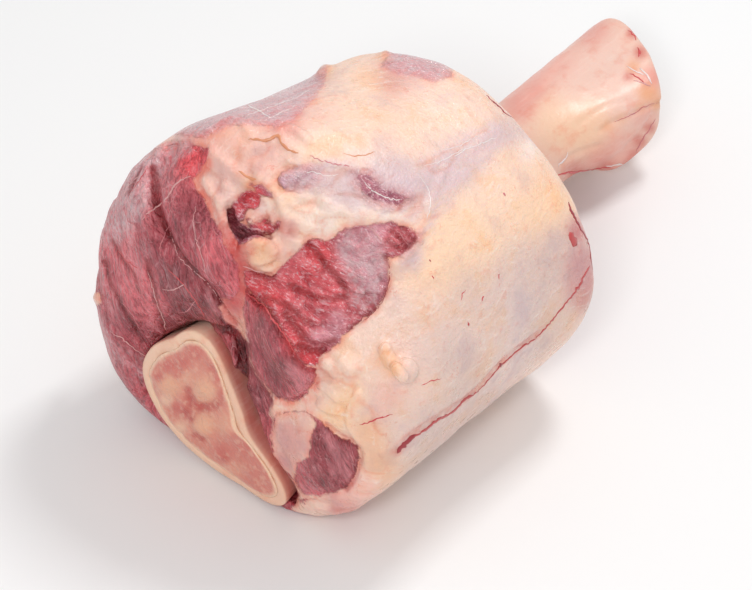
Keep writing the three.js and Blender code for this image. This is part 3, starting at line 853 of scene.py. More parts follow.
FLESH_TONES = {
    "plain": ((200, 84, 94), ()),
    "bright": ((250, 76, 84), ((192, 158, 16), (254, 284, 10), (268, 300, 10), (318, 256, 13),
        (296, 342, 11), (312, 358, 10), (262, 222, 8), (254, 196, 8))),
    "red": ((250, 92, 102), ((178, 150, 14), (300, 280, 16), (330, 296, 14), (320, 503, 10),
        (252, 206, 12), (284, 308, 9), (300, 330, 12))),
    "rose": ((244, 118, 126), ((118, 240, 22), (126, 276, 18), (214, 250, 11), (150, 310, 12),
        (228, 280, 10), (350, 300, 12), (396, 240, 10), (575, 230, 18), (344, 272, 10), (302, 306, 10),
        (320, 320, 10))),
    "mauve": ((246, 156, 160), ((150, 176, 22), (136, 206, 18), (250, 112, 34), (290, 104, 20),
        (418, 66, 24))),
    "dark": ((136, 46, 56), ((142, 396, 22), (188, 312, 16), (176, 280, 14), (206, 300, 12),
        (282, 368, 13), (252, 400, 14), (320, 440, 10), (334, 458, 17), (330, 482, 12), (194, 276, 6))),
    "wine": ((196, 80, 90), ((104, 280, 14), (164, 196, 16), (215, 280, 12))),
    "lilac": ((232, 196, 212), ((298, 179, 22),)),
    "sheen": ((246, 172, 184), ((362, 250, 18), (374, 280, 14), (378, 230, 9), (330, 332, 9),
        (336, 318, 8), (262, 214, 6), (314, 338, 8))),
    "purple": ((170, 96, 120), ((240, 230, 12), (366, 182, 12), (382, 194, 16))),
    "dusk": ((174, 70, 82), ((148, 250, 16), (118, 330, 20), (180, 228, 16), (196, 214, 12),
        (160, 330, 16), (270, 350, 12), (262, 336, 14))),
    "blood": ((124, 22, 32), ((244, 346, 9), (226, 326, 7), (243, 372, 7), (249, 392, 6),
        (206, 288, 5), (216, 302, 6), (226, 318, 7))),
}

for name, tones in (("fat", FAT_TONES), ("muscle", FLESH_TONES)):
    print(name, "has", len(tones), "tones and", sum(len(spots) for _, spots in tones.values()), "spots")

# %% Mix the spots
PLAIN_WEIGHT = 0.25                    # how much the plain tone counts against a spot


def linear(colour):
    """A screen colour, 0 to 255, as linear light, 0 to 1."""
    c = np.asarray(colour, float) / 255
    return np.where(c <= 0.04045, c / 12.92, ((c + 0.055) / 1.055) ** 2.4)


def mixed(tones, pixels, plain_weight, reach=1.0):
    """The spots of some tones mixed at every pixel. The reach fades them on the side turned away."""
    weight = np.full(len(pixels), plain_weight)
    total = weight[:, None] * linear(tones["plain"][0])
    for colour, spots in tones.values():
        for spot_x, spot_y, radius in spots:
            here = np.exp(-(np.hypot(*(pixels - (spot_x, spot_y)).T) / radius) ** 2) * reach
            total += here[:, None] * linear(colour)
            weight += here
    return total / weight[:, None]


seen_share = smoothstep(-6, 8, seen)
fat_tone = mixed(FAT_TONES, meat_pixels, PLAIN_WEIGHT, seen_share)
flesh_tone = mixed(FLESH_TONES, meat_pixels, PLAIN_WEIGHT, seen_share)
FAT_DRIFT = np.array([0.02, 0.05, 0.09])    # how far the fat drifts from yellow to pale
fat_tone = fat_tone * (1.0 + noise(meat_points, 28, 31)[:, None] * FAT_DRIFT)
print("mean fat tone:", fat_tone.mean(axis=0).round(2), "muscle:", flesh_tone.mean(axis=0).round(2))

# %% [markdown]
# ## Pieces
# A piece is a mesh in the frame, in metres. It rides on the only body and
# may stand for an imported node. All pieces are made by one function, so none of this is left out.

# %% Define how a piece is added
def add_piece(name, points, faces, material, node=None):
    mesh = bpy.data.meshes.new(name)
    mesh.from_pydata(to_frame(points).tolist(), [], [list(map(int, f)) for f in faces])
    mesh.polygons.foreach_set("use_smooth", [True] * len(mesh.polygons))
    mesh.materials.append(material)
    mesh.update()
    piece = bpy.data.objects.new(name, mesh)
    bpy.context.scene.collection.objects.link(piece)
    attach(piece, "root")
    if node:
        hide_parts(node)
    print(name, "has", len(points), "points and", len(faces), "faces")
    return piece


def set_values(piece, name, values):
    layer = piece.data.attributes.new(name, "FLOAT", "POINT")
    layer.data.foreach_set("value", np.asarray(values, np.float32))


def set_colours(piece, name, colours):
    layer = piece.data.attributes.new(name, "FLOAT_COLOR", "POINT")
    rgba = np.ones((len(colours), 4), np.float32)
    rgba[:, :3] = colours
    layer.data.foreach_set("color", rgba.ravel())

# %% [markdown]
# ## Shader groups
# Torn edges, wet patches, the mottling of fat and the strands of muscle are effects, and each is a node
# group, built once and placed with its own values. A group gives out colours, masks or heights, and the
# material itself keeps the surface shader.

# %% Define the shader helpers
class Tree:
    """A node tree with short ways to add nodes and wire them."""

    def __init__(self, tree):
        self.tree = tree
        self.column = 0

    def node(self, kind, inputs=None, **settings):
        made = self.tree.nodes.new(kind)
        made.location = (self.column * 190 - 1200, (self.column % 4) * -220)
        self.column += 1
        for key, value in settings.items():
            setattr(made, key, value)
        for key, value in (inputs or {}).items():
            self.set(made.inputs[key], value)
        return made

    def set(self, socket, value):
        if isinstance(value, bpy.types.NodeSocket):
            self.tree.links.new(value, socket)
        else:
            socket.default_value = value

    def math(self, operation, a, b=0.0, c=0.0, clamp=False):
        made = self.node("ShaderNodeMath", operation=operation, use_clamp=clamp)
        for socket, value in zip(made.inputs, (a, b, c)):
            self.set(socket, value)
        return made.outputs[0]

    def ramp(self, value, low, high, to_low=0.0, to_high=1.0):
        """Smooth step of a value between two limits."""
        made = self.node("ShaderNodeMapRange", interpolation_type="SMOOTHSTEP")
        for key, part in zip((0, 1, 2, 3, 4), (value, low, high, to_low, to_high)):
            self.set(made.inputs[key], part)
        return made.outputs[0]

    def mix(self, factor, a, b, blend_type="MIX"):
        made = self.node("ShaderNodeMix", data_type="RGBA", blend_type=blend_type)
        self.set(made.inputs[0], factor)
        self.set(made.inputs[6], a)
        self.set(made.inputs[7], b)
        return made.outputs[2]

    def attribute(self, name, colour=False):
        made = self.node("ShaderNodeAttribute", attribute_name=name)
        return made.outputs["Color" if colour else "Fac"]

    def noise(self, where, scale, detail=2.0, roughness=0.5):
        made = self.node("ShaderNodeTexNoise", {"Vector": where, "Scale": scale, "Detail": detail,
                                                "Roughness": roughness})
        return made.outputs[0]

    def cells(self, where, scale, feature="F1"):
        made = self.node("ShaderNodeTexVoronoi", {"Vector": where, "Scale": scale}, feature=feature)
        return made.outputs["Distance"]

    def stretched(self, where, sizes):
        """Coordinates in millimetres divided by a size per axis."""
        made = self.node("ShaderNodeVectorMath", operation="MULTIPLY")
        self.set(made.inputs[0], where)
        self.set(made.inputs[1], tuple(1.0 / s for s in sizes))
        return made.outputs[0]

    def warped(self, where, scale, amount):
        """Coordinates moved about by a noise."""
        swirl = self.node("ShaderNodeTexNoise", {"Vector": where, "Scale": scale, "Detail": 2.0})
        drift = self.node("ShaderNodeVectorMath", operation="SCALE")
        self.set(drift.inputs[0], swirl.outputs[1])
        self.set(drift.inputs["Scale"], amount)
        moved = self.node("ShaderNodeVectorMath", operation="ADD")
        self.set(moved.inputs[0], where)
        self.set(moved.inputs[1], drift.outputs[0])
        return moved.outputs[0]

    def turned(self, where, angle):
        """Coordinates turned about X."""
        made = self.node("ShaderNodeVectorRotate", {"Vector": where, "Angle": angle}, rotation_type="X_AXIS")
        return made.outputs[0]


def new_group(name, inputs, outputs):
    """A node group with float, colour or vector sockets, and its Tree."""
    group = bpy.data.node_groups.new(name, "ShaderNodeTree")
    kinds = {"value": "NodeSocketFloat", "colour": "NodeSocketColor", "vector": "NodeSocketVector"}
    for socket, (kind, default) in inputs.items():
        made = group.interface.new_socket(socket, in_out="INPUT", socket_type=kinds[kind])
        if default is not None:
            made.default_value = default
    for socket, kind in outputs.items():
        group.interface.new_socket(socket, in_out="OUTPUT", socket_type=kinds[kind])
    tree = Tree(group)
    return tree, tree.node("NodeGroupInput").outputs, tree.node("NodeGroupOutput").inputs


def use_group(tree, name, **inputs):
    made = tree.node("ShaderNodeGroup")
    made.node_tree = bpy.data.node_groups[name]
    for key, value in inputs.items():
        tree.set(made.inputs[key.replace("_", " ")], value)
    return made.outputs


def new_material(name):
    material = bpy.data.materials.new(name)
    material.use_nodes = True
    material.node_tree.nodes.clear()
    tree = Tree(material.node_tree)
    where = tree.node("ShaderNodeTexCoord").outputs["Object"]
    scaled = tree.node("ShaderNodeVectorMath", operation="SCALE")
    tree.set(scaled.inputs[0], where)
    scaled.inputs["Scale"].default_value = 1000.0
    return material, tree, scaled.outputs[0]


def finish_material(tree, surface):
    out = tree.node("ShaderNodeOutputMaterial")
    tree.set(out.inputs["Surface"], surface.outputs[0])

# %% Make the ragged edge and the moist groups
tree, given, made = new_group(
    "Ragged Edge",
    {"Where": ("vector", None), "Distance": ("value", 0.0), "Wander": ("value", 1.0),
     "Size": ("value", 3.0), "Softness": ("value", 0.4)},
    {"Mask": "value"})
wave = tree.noise(given["Where"], tree.math("DIVIDE", 1.0, given["Size"]), 4.0, 0.6)
shift = tree.math("MULTIPLY", tree.math("SUBTRACT", wave, 0.5), tree.math("MULTIPLY", given["Wander"], 2.0))
moved = tree.math("ADD", given["Distance"], shift)
tree.set(made["Mask"], tree.ramp(moved, tree.math("MULTIPLY", given["Softness"], -1.0), given["Softness"]))

tree, given, made = new_group(
    "Moist",
    {"Where": ("vector", None), "Dry": ("value", 0.5), "Wet": ("value", 0.25)},
    {"Roughness": "value"})
patchy = tree.noise(given["Where"], 0.11, 4.0, 0.6)
share_wet = tree.ramp(patchy, 0.38, 0.62)
tree.set(made["Roughness"], tree.math(
    "ADD", given["Dry"], tree.math("MULTIPLY", share_wet, tree.math("SUBTRACT", given["Wet"], given["Dry"]))))
print("groups:", [g.name for g in bpy.data.node_groups])

# %% Make the fat and muscle groups
tree, given, made = new_group(
    "Fat Detail",
    {"Where": ("vector", None), "Colour": ("colour", (0.8, 0.6, 0.5, 1))},
    {"Colour": "colour", "Height": "value"})
cloud = tree.noise(given["Where"], 0.055, 5.0, 0.6)
grain = tree.noise(given["Where"], 0.6, 3.0, 0.6)
speck = tree.noise(given["Where"], 0.2, 4.0, 0.65)
bent = tree.noise(given["Where"], 0.08, 3.0, 0.6)
moved = tree.warped(given["Where"], 0.03, 36.0)
sinew = tree.noise(tree.stretched(moved, (20.0, 2.4, 2.4)), 1.0, 4.0, 0.62)
hoops = tree.noise(tree.stretched(moved, (2.6, 22.0, 22.0)), 1.0, 4.0, 0.62)
veins = tree.math("ABSOLUTE", tree.math("SUBTRACT", tree.noise(given["Where"], 0.045, 5.0, 0.62), 0.5))
vein_share = tree.math("MULTIPLY", tree.ramp(veins, 0.006, 0.0), tree.ramp(bent, 0.52, 0.64, 0.0, 0.7))
along_share = tree.math("MULTIPLY", tree.ramp(sinew, 0.52, 0.72), tree.ramp(cloud, 0.44, 0.58, 0.0, 0.4))
round_share = tree.math("MULTIPLY", tree.ramp(hoops, 0.52, 0.72), tree.ramp(cloud, 0.54, 0.4, 0.0, 0.4))
warm = tree.mix(tree.ramp(cloud, 0.5, 0.68, 0.0, 0.8), given["Colour"], (1.0, 0.87, 0.72, 1), "MULTIPLY")
cool = tree.mix(tree.ramp(cloud, 0.5, 0.34, 0.0, 0.9), warm, (0.88, 0.88, 0.95, 1), "MULTIPLY")
pink = tree.mix(tree.ramp(speck, 0.55, 0.74, 0.0, 0.7), cool, (0.95, 0.74, 0.70, 1), "MULTIPLY")
sinewy = tree.mix(along_share, pink, (0.96, 0.87, 0.81, 1))
hooped = tree.mix(round_share, sinewy, (0.90, 0.76, 0.73, 1), "MULTIPLY")
tree.set(made["Colour"], tree.mix(vein_share, hooped, (0.9, 0.5, 0.44, 1), "MULTIPLY"))
tree.set(made["Height"], tree.math("ADD", tree.math("MULTIPLY", speck, 1.1), tree.math(
    "ADD", tree.math("MULTIPLY", sinew, 0.5), tree.math("MULTIPLY", grain, 0.35))))

tree, given, made = new_group(
    "Muscle Strands",
    {"Where": ("vector", None), "Colour": ("colour", (0.3, 0.08, 0.1, 1)), "Swirl": ("value", 6.0),
     "Pale": ("value", 1.0), "Dark": ("value", 1.0), "Net": ("value", 1.0)},
    {"Colour": "colour", "Height": "value"})
moved = tree.warped(given["Where"], 0.07, given["Swirl"])
folds = tree.noise(moved, 0.42, 3.0, 0.65)
fine = tree.noise(moved, 1.4, 3.0, 0.65)
blotch = tree.noise(given["Where"], 0.075, 4.0, 0.6)
bundle = tree.cells(moved, 0.28, "DISTANCE_TO_EDGE")
patchy = tree.noise(given["Where"], 0.1, 2.0, 0.5)
fold_share = tree.math("MULTIPLY", tree.ramp(folds, 0.54, 0.36, 0.0, 0.75), given["Dark"])
speck_share = tree.math("MULTIPLY", tree.ramp(fine, 0.47, 0.33, 0.0, 0.8), given["Dark"])
blotch_share = tree.math("MULTIPLY", tree.ramp(blotch, 0.48, 0.66, 0.0, 0.75), given["Dark"])
pale_share = tree.math("MULTIPLY", tree.ramp(folds, 0.54, 0.72, 0.0, 0.6), given["Pale"])
streak_share = tree.math("MULTIPLY", tree.ramp(fine, 0.56, 0.7, 0.0, 0.5), given["Pale"])
net_share = tree.math("MULTIPLY", tree.ramp(patchy, 0.5, 0.62, 0.0, 0.4), given["Net"])
fascia_share = tree.math("MULTIPLY", tree.ramp(bundle, 0.07, 0.0), net_share)
dark = tree.mix(fold_share, given["Colour"], (0.52, 0.30, 0.34, 1), "MULTIPLY")
specks = tree.mix(speck_share, dark, (0.48, 0.27, 0.31, 1), "MULTIPLY")
light = tree.mix(pale_share, specks, (0.92, 0.40, 0.42, 1))
streaks = tree.mix(streak_share, light, (0.94, 0.52, 0.54, 1))
netted = tree.mix(fascia_share, streaks, (0.78, 0.40, 0.42, 1))
shadowed = tree.mix(blotch_share, netted, (0.66, 0.48, 0.54, 1), "MULTIPLY")
tree.set(made["Colour"], tree.mix(tree.ramp(blotch, 0.44, 0.3, 0.0, 0.35), shadowed, (0.90, 0.36, 0.39, 1)))
net_height = tree.math("MULTIPLY", tree.ramp(bundle, 0.0, 0.2, 0.0, 0.3), given["Net"])
fine_height = tree.math("ADD", tree.math("MULTIPLY", fine, 0.35), net_height)
tree.set(made["Height"], tree.math("ADD", folds, fine_height))
print("groups:", [g.name for g in bpy.data.node_groups])

# %% [markdown]
# ## The meat's material
# Raw muscle is wet, dark in its folds and pale along its fibres, and fat is matt and soft. The two are
# mixed by the ragged edge. A film of silverskin lies over some of both. On the face and the torn muscle its
# pale veil is partly painted sheen. Shade is painted into the crevices and the creases of the folds, and pale
# glints on the torn muscle are painted highlights. One surface shader with a little light under the skin
# finishes it, so that no seam shows between materials.

# %% Make the meat's material
GRAIN_TILT = 0.38                      # the cut face's grain leans this much from upright, in radians

meat_material, tree, where = new_material("meat")
fat = use_group(tree, "Fat Detail", Where=where, Colour=tree.attribute("fat_tone", True))
tone = tree.attribute("flesh_tone", True)
grain_way = tree.stretched(tree.turned(where, GRAIN_TILT), (1.0, 1.0, 3.0))
grain = use_group(tree, "Muscle Strands", Where=grain_way, Colour=tone, Swirl=7.0, Pale=0.5, Dark=1.0)
fibre_way = tree.stretched(where, (1.0, 3.2, 1.0))
fibre = use_group(tree, "Muscle Strands", Where=fibre_way, Colour=tone, Swirl=4.0, Pale=1.0, Dark=0.45,
                  Net=0.0)
# Painted highlight: pale glints mixed into the torn muscle's colour.
painted_glint_way = tree.stretched(tree.warped(where, 0.12, 5.0), (1.1, 4.0, 1.1))
painted_glints = tree.noise(painted_glint_way, 1.0, 4.0, 0.62)
painted_glint_colour = tree.mix(tree.ramp(painted_glints, 0.52, 0.66, 0.0, 0.7), fibre["Colour"], (0.98, 0.62, 0.66, 1))
cut_mask = use_group(tree, "Ragged Edge", Where=where, Distance=tree.attribute("cut"), Wander=1.0)["Mask"]
film_mask = use_group(tree, "Ragged Edge", Where=where, Distance=tree.attribute("film"), Wander=4.0,
                      Size=8.0, Softness=3.0)["Mask"]
edge_softness = tree.ramp(film_mask, 0.0, 1.0, 0.6, 5.0)
flesh_mask = use_group(tree, "Ragged Edge", Where=where, Distance=tree.attribute("flesh"), Wander=1.6,
                       Size=3.0, Softness=edge_softness)["Mask"]
flesh_colour = tree.mix(cut_mask, painted_glint_colour, grain["Colour"])
fibre_height = tree.math("MULTIPLY", fibre["Height"], 2.0)
flesh_height = tree.mix(cut_mask, fibre_height, grain["Height"])
rim_patches = tree.ramp(tree.noise(where, 0.16, 3.0, 0.6), 0.36, 0.62, 0.15, 0.8)
rim_share = tree.math("MULTIPLY", tree.ramp(tree.attribute("flesh"), -3.6, 0.2), rim_patches)
bloody_fat = tree.mix(rim_share, fat["Colour"], (0.97, 0.52, 0.48, 1), "MULTIPLY")
stain_share = tree.math("MULTIPLY", tree.ramp(tree.attribute("stain"), 3.2, 0.0), rim_patches)
stained_fat = tree.mix(stain_share, bloody_fat, (0.95, 0.5, 0.45, 1), "MULTIPLY")
colour = tree.mix(flesh_mask, stained_fat, flesh_colour)
veil = tree.noise(tree.stretched(where, (18.0, 2.2, 2.2)), 1.0, 4.0, 0.6)
veil_share = tree.math("MULTIPLY", film_mask, tree.ramp(veil, 0.34, 0.66, 0.15, 0.7))
veiled = tree.mix(veil_share, colour, (0.73, 0.53, 0.55, 1))
# Painted shade in the creases of the folds: the fat turns pinker and darker, and the muscle darker.
crease_shade_here = tree.attribute("crease_shade")
fat_crease_shade = tree.mix(tree.math("MULTIPLY", crease_shade_here, 0.65), veiled, (0.93, 0.66, 0.58, 1), "MULTIPLY")
flesh_crease_shade = tree.mix(tree.math("MULTIPLY", crease_shade_here, 0.6), veiled, (0.66, 0.40, 0.44, 1), "MULTIPLY")
crease_shaded = tree.mix(flesh_mask, fat_crease_shade, flesh_crease_shade)
# Painted shade along the seams' crevices: a dark red multiplied into the colour.
crevice_shade_reach = tree.ramp(flesh_mask, 0.0, 1.0, 0.3, 1.8)
crevice_shade_share = tree.ramp(tree.attribute("crevice_shade"), -0.6, crevice_shade_reach, 0.95, 0.0)
shaded = tree.mix(crevice_shade_share, crease_shaded, (0.45, 0.09, 0.11, 1), "MULTIPLY")
fat_height = tree.math("MULTIPLY", fat["Height"], 0.5)
height = tree.mix(flesh_mask, fat_height, flesh_height)
bump = tree.node("ShaderNodeBump", {"Height": height, "Distance": 0.0022, "Strength": 0.8})
moist = use_group(tree, "Moist", Where=where, Dry=0.46, Wet=0.26)["Roughness"]
torn_share = tree.math("SUBTRACT", 1.0, cut_mask)
flesh_coat = tree.ramp(flesh_mask, 0.0, 1.0, 0.2, tree.ramp(torn_share, 0.0, 1.0, 0.5, 1.0))
wet_coat = tree.math("MAXIMUM", flesh_coat, stain_share)
surface = tree.node("ShaderNodeBsdfPrincipled", {
    "Base Color": shaded, "Roughness": moist, "Normal": bump.outputs[0], "IOR": 1.4,
    "Subsurface Weight": 0.12, "Subsurface Radius": (1.0, 0.35, 0.2), "Subsurface Scale": 0.004,
    "Coat Weight": wet_coat, "Coat Roughness": 0.1, "Coat Normal": bump.outputs[0]})
finish_material(tree, surface)
print("meat material has", len(tree.tree.nodes), "nodes")

# %% Add the meat
meat = add_piece("meat_body", meat_points, meat_quads, meat_material, "meat")
for name, values_here in (("flesh", flesh), ("film", film), ("cut", cut), ("crevice_shade", crevice_shade),
                          ("stain", stain), ("crease_shade", crease_shade)):
    set_values(meat, name, values_here)
set_colours(meat, "fat_tone", fat_tone)
set_colours(meat, "flesh_tone", flesh_tone)

# %% [markdown]
# ## The bone and its marrow
# The bone stands bare at the far end and shows its sawn wall at the near end, with the marrow inside it.
# Both are lofts of rings on the bone's outline, which keeps their faces even along the shaft. The bone
# is drawn towards its slanting end beyond the flare, and its end is rounded.

# %% Define the lofts
BONE_SIDES = 160


def loft(rings):
    """A closed tube of rings (x, share of the radius, inset), capped by a point at both ends."""
    angle = np.arange(BONE_SIDES) / BONE_SIDES * 2 * math.pi
    points = []
    for ring_x, share, inset in rings:
        here = np.full(BONE_SIDES, float(ring_x))
        radius = (bone_radius(here, angle) - inset) * share
        centre = bone_centre(here)
        across = np.stack([np.cos(angle), np.sin(angle)], 1) * radius[:, None]
        ring = np.column_stack([here, centre + across])
        towards_end = np.clip((ring_x - FLARE_X) / (KNUCKLE_X - FLARE_X), 0, 1)
        ring[:, 0] += towards_end * (knuckle_end(ring[:, 1], ring[:, 2]) - KNUCKLE_X)
        points.append(ring)
    count = len(rings)
    first, last = points[0].mean(axis=0), points[-1].mean(axis=0)
    points = np.vstack(points + [first[None], last[None]])
    i, j = np.meshgrid(np.arange(count - 1), np.arange(BONE_SIDES), indexing="ij")
    k = (j + 1) % BONE_SIDES
    quads = np.stack([i * BONE_SIDES + j, i * BONE_SIDES + k, (i + 1) * BONE_SIDES + k,
                      (i + 1) * BONE_SIDES + j], axis=-1).reshape(-1, 4)[:, ::-1]
    side, turn = np.arange(BONE_SIDES), (np.arange(BONE_SIDES) + 1) % BONE_SIDES
    near_cap = [(count * BONE_SIDES, int(a), int(b)) for a, b in zip(side, turn)]
    base = (count - 1) * BONE_SIDES
    far_cap = [(count * BONE_SIDES + 1, base + int(b), base + int(a)) for a, b in zip(side, turn)]
    return points, [tuple(q) for q in quads] + near_cap + far_cap


def even(start, stop, count, share=1.0, inset=0.0):
    return [(start + (stop - start) * i / (count - 1), share, inset) for i in range(count)]

# %% Make the bone and marrow points
HOLLOW_X = SAWN_X + HOLLOW_LENGTH
ROUNDING = ((7, 1), (5, 0.995), (3.6, 0.988), (2.4, 0.977), (1.4, 0.962), (0.6, 0.94), (0.2, 0.915),
            (0, 0.88))
bone_rings = [(HOLLOW_X, 0.3, BONE_WALL)] + even(HOLLOW_X, SAWN_X + 0.5, 16, 1.0, BONE_WALL)
bone_rings += [(SAWN_X, 1, BONE_WALL - 0.5), (SAWN_X, 1, 3.2), (SAWN_X, 1, 1.0), (SAWN_X + 0.4, 1, 0.3)]
bone_rings += even(SAWN_X + 1.2, KNUCKLE_X - 9, 120)
bone_rings += [(KNUCKLE_X - back, share, 0) for back, share in ROUNDING]
bone_rings += [(KNUCKLE_X, 0.88 - 0.1 * i, 0) for i in range(1, 8)]
bone_points, bone_faces = loft(bone_rings)
marrow_inset = BONE_WALL + GAP
LIP = 0.7                              # the soft marrow laps over the wall's edge
marrow_rings = [(SAWN_X - 0.8, 0.03 * i, marrow_inset) for i in range(1, 31)]
marrow_rings += [(SAWN_X - 0.7, 0.95, marrow_inset), (SAWN_X - 0.5, 1.0, marrow_inset),
                 (SAWN_X - 0.2, 1.0, marrow_inset - LIP), (SAWN_X - 0.05, 1.0, marrow_inset - LIP)]
marrow_rings += even(SAWN_X + 1, SAWN_X + MARROW_LENGTH, 6, 1.0, marrow_inset)
marrow_points, marrow_faces = loft(marrow_rings)
print("bone:", len(bone_points), "points, marrow:", len(marrow_points), "points")

# %% [markdown]
# The sawn end is flat, with soft pits and lumps in the marrow. The knuckle has shallow grooves and a
# few rough spots. They are moved points of the loft, placed by pixels, and only on the side that faces
# the camera. The tones are spots too, as on the meat.

# %% Add the relief and tones of the bone
BONE_GROOVES = (
    ([(666, 101), (652, 106), (641, 110), (628, 117), (614, 122), (601, 131)], 2.6, 1.0),
    ([(652, 116), (645, 128), (636, 138), (628, 146)], 2.6, 0.9),
    ([(600, 145), (588, 149), (574, 154), (560, 163)], 2.5, 0.8),
    ([(560, 62), (552, 80), (540, 92), (524, 104)], 3.5, 0.5),
    ([(628, 100), (612, 104), (596, 112), (580, 124)], 3.0, 0.5),
)
ROUGH_SPOTS = ((632, 33, 5), (639, 52, 6), (633, 66, 5), (626, 77, 4), (648, 86, 5), (655, 100, 4))
BONE_TONES = {
    "plain": ((236, 192, 174), ()),
    "pink": ((236, 170, 156), ((520, 96, 16), (556, 62, 18), (618, 146, 14), (642, 118, 10),
        (540, 76, 14), (236, 474, 10))),
    "pale": ((234, 198, 184), ((572, 84, 20), (604, 62, 22), (626, 112, 14))),
    "cream": ((240, 200, 166), ((560, 120, 24), (590, 128, 22))),
    "rosy": ((226, 144, 132), ((590, 30, 14), (600, 162, 12), (652, 78, 8), (520, 104, 12),
        (536, 90, 8), (182, 334, 6), (270, 488, 10))),
    "rim": ((246, 204, 174), ((158, 390, 14), (190, 342, 14), (172, 424, 12), (200, 455, 8))),
    "side": ((188, 88, 80), ((226, 352, 12), (238, 385, 12), (252, 420, 12), (272, 458, 12),
        (286, 490, 12), (262, 494, 8), (234, 368, 10), (246, 402, 10), (264, 438, 10), (282, 474, 10),
        (222, 340, 8))),
    "stain": ((186, 56, 54), ((627, 168, 6), (232, 476, 4))),
    "ochre": ((232, 162, 116), ((633, 66, 5), (648, 92, 8), (660, 104, 6), (640, 108, 5),
        (622, 118, 5), (608, 126, 5))),
    "red": ((206, 96, 84), ((606, 167, 7), (576, 172, 8), (632, 33, 4), (640, 52, 5), (628, 76, 4),
        (650, 128, 4), (640, 142, 5), (634, 156, 6), (165, 345, 6))),
}
MARROW_TONES = {
    "plain": ((220, 138, 120), ()),
    "lump": ((240, 184, 148), ((206, 390, 10), (204, 424, 8), (170, 386, 8))),
    "pink": ((208, 120, 108), ((256, 472, 22), (240, 446, 14))),
    "stain": ((184, 58, 54), ((188, 390, 3), (190, 398, 4), (193, 405, 4), (200, 408, 4),
        (208, 407, 4), (216, 404, 4), (186, 412, 4), (192, 418, 3), (202, 438, 3), (196, 434, 3),
        (226, 458, 3))),
    "pale": ((234, 168, 140), ((186, 378, 6), (226, 424, 8), (236, 470, 8))),
    "rosy": ((204, 96, 88), ((182, 362, 6), (178, 374, 4), (213, 366, 5), (218, 380, 5), (222, 394, 5),
        (178, 408, 5), (168, 366, 5), (160, 376, 4), (196, 352, 6), (222, 452, 6), (244, 448, 5))),
    "rim": (BONE_TONES["rim"][0], ((166, 400, 5), (180, 428, 5))),
}
MARROW_LUMPS = ((203, 389, 9, 1.3), (203, 424, 8, 1.2), (168, 384, 8, 0.9), (190, 400, 4, -1.0),
                (201, 406, 4, -0.9), (213, 372, 4, -0.8), (228, 432, 8, 0.6), (256, 470, 10, 0.5))


SAWN_SHARE = 0.8                       # how far the sawn ring takes the rim's colour
BONE_PLAIN_WEIGHT = 0.3

bone_axis = bone_centre(bone_points[:, 0])
outward = bone_points - np.stack([bone_points[:, 0] - 0.01, *bone_axis.T], axis=1)
outward /= np.linalg.norm(outward, axis=1, keepdims=True)
facing_camera = smoothstep(0.0, 0.3, outward @ BACK)
rim_colour = linear(BONE_TONES["rim"][0])
pixels = to_pixel(bone_points)
bone_tone = mixed(BONE_TONES, pixels, BONE_PLAIN_WEIGHT)
sawn_share = (SAWN_SHARE * smoothstep(SAWN_X + 2.0, SAWN_X + 0.3, bone_points[:, 0]))[:, None]
bone_tone = bone_tone * (1 - sawn_share) + rim_colour * sawn_share
depth = 0.5 * noise(bone_points, 24, 41) + 0.18 * noise(bone_points, 7, 42)
for path, width, cut_depth in BONE_GROOVES:
    line = curve(path, 3.0)
    away = np.min(np.linalg.norm(pixels[:, None] - line[None], axis=2), axis=1)
    depth += cut_depth * np.exp(-(away / width) ** 2) * facing_camera
for px, py, radius in ROUGH_SPOTS:
    away = np.hypot(*(pixels - (px, py)).T) / radius
    depth += (0.4 + 0.6 * noise(bone_points, 2.2, 43)) * np.exp(-away ** 2) * facing_camera
bare = smoothstep(138, 150, bone_points[:, 0])
bone_points -= outward * (depth * bare)[:, None]
marrow_pixels = to_pixel(marrow_points)
marrow_tone = mixed(MARROW_TONES, marrow_pixels, BONE_PLAIN_WEIGHT)
away, outline = from_bone_centre(marrow_points)
inward = outline - away + 0.8 * noise(marrow_points, 6, 46)
rim_share = smoothstep(7.4, 6.0, inward)[:, None]
marrow_tone = marrow_tone * (1 - rim_share) + rim_colour * rim_share
marrow_face = smoothstep(SAWN_X + 0.5, SAWN_X - 0.3, marrow_points[:, 0])
marrow_rise = 0.5 * noise(marrow_points, 8, 44) + 0.3 * noise(marrow_points, 3.5, 45)
for px, py, radius, rise in MARROW_LUMPS:
    marrow_rise += rise * np.exp(-(np.hypot(*(marrow_pixels - (px, py)).T) / radius) ** 2)
marrow_points[:, 0] -= marrow_face * marrow_rise
print("knuckle relief up to", round(float(depth.max()), 1), "mm")

# %% Make the bone and marrow materials
bone_material, tree, where = new_material("bone")
tone = tree.attribute("bone_tone", True)
blotch = tree.noise(where, 0.12, 5.0, 0.6)
streak = tree.noise(tree.stretched(where, (12.0, 2.0, 2.0)), 1.0, 3.0, 0.6)
pink = tree.mix(tree.ramp(blotch, 0.5, 0.72, 0.0, 0.55), tone, (0.95, 0.66, 0.6, 1), "MULTIPLY")
pale = tree.mix(tree.ramp(streak, 0.5, 0.75, 0.0, 0.12), pink, (0.94, 0.82, 0.74, 1))
height = tree.math("ADD", blotch, tree.math("MULTIPLY", tree.noise(where, 0.7, 3.0), 0.3))
bump = tree.node("ShaderNodeBump", {"Height": height, "Distance": 0.0008, "Strength": 0.5})
moist = use_group(tree, "Moist", Where=where, Dry=0.5, Wet=0.34)["Roughness"]
finish_material(tree, tree.node("ShaderNodeBsdfPrincipled", {
    "Base Color": pale, "Roughness": moist, "Normal": bump.outputs[0], "Subsurface Weight": 0.1,
    "Subsurface Radius": (1.0, 0.5, 0.35), "Subsurface Scale": 0.003,
    "Coat Weight": 0.15, "Coat Roughness": 0.2}))

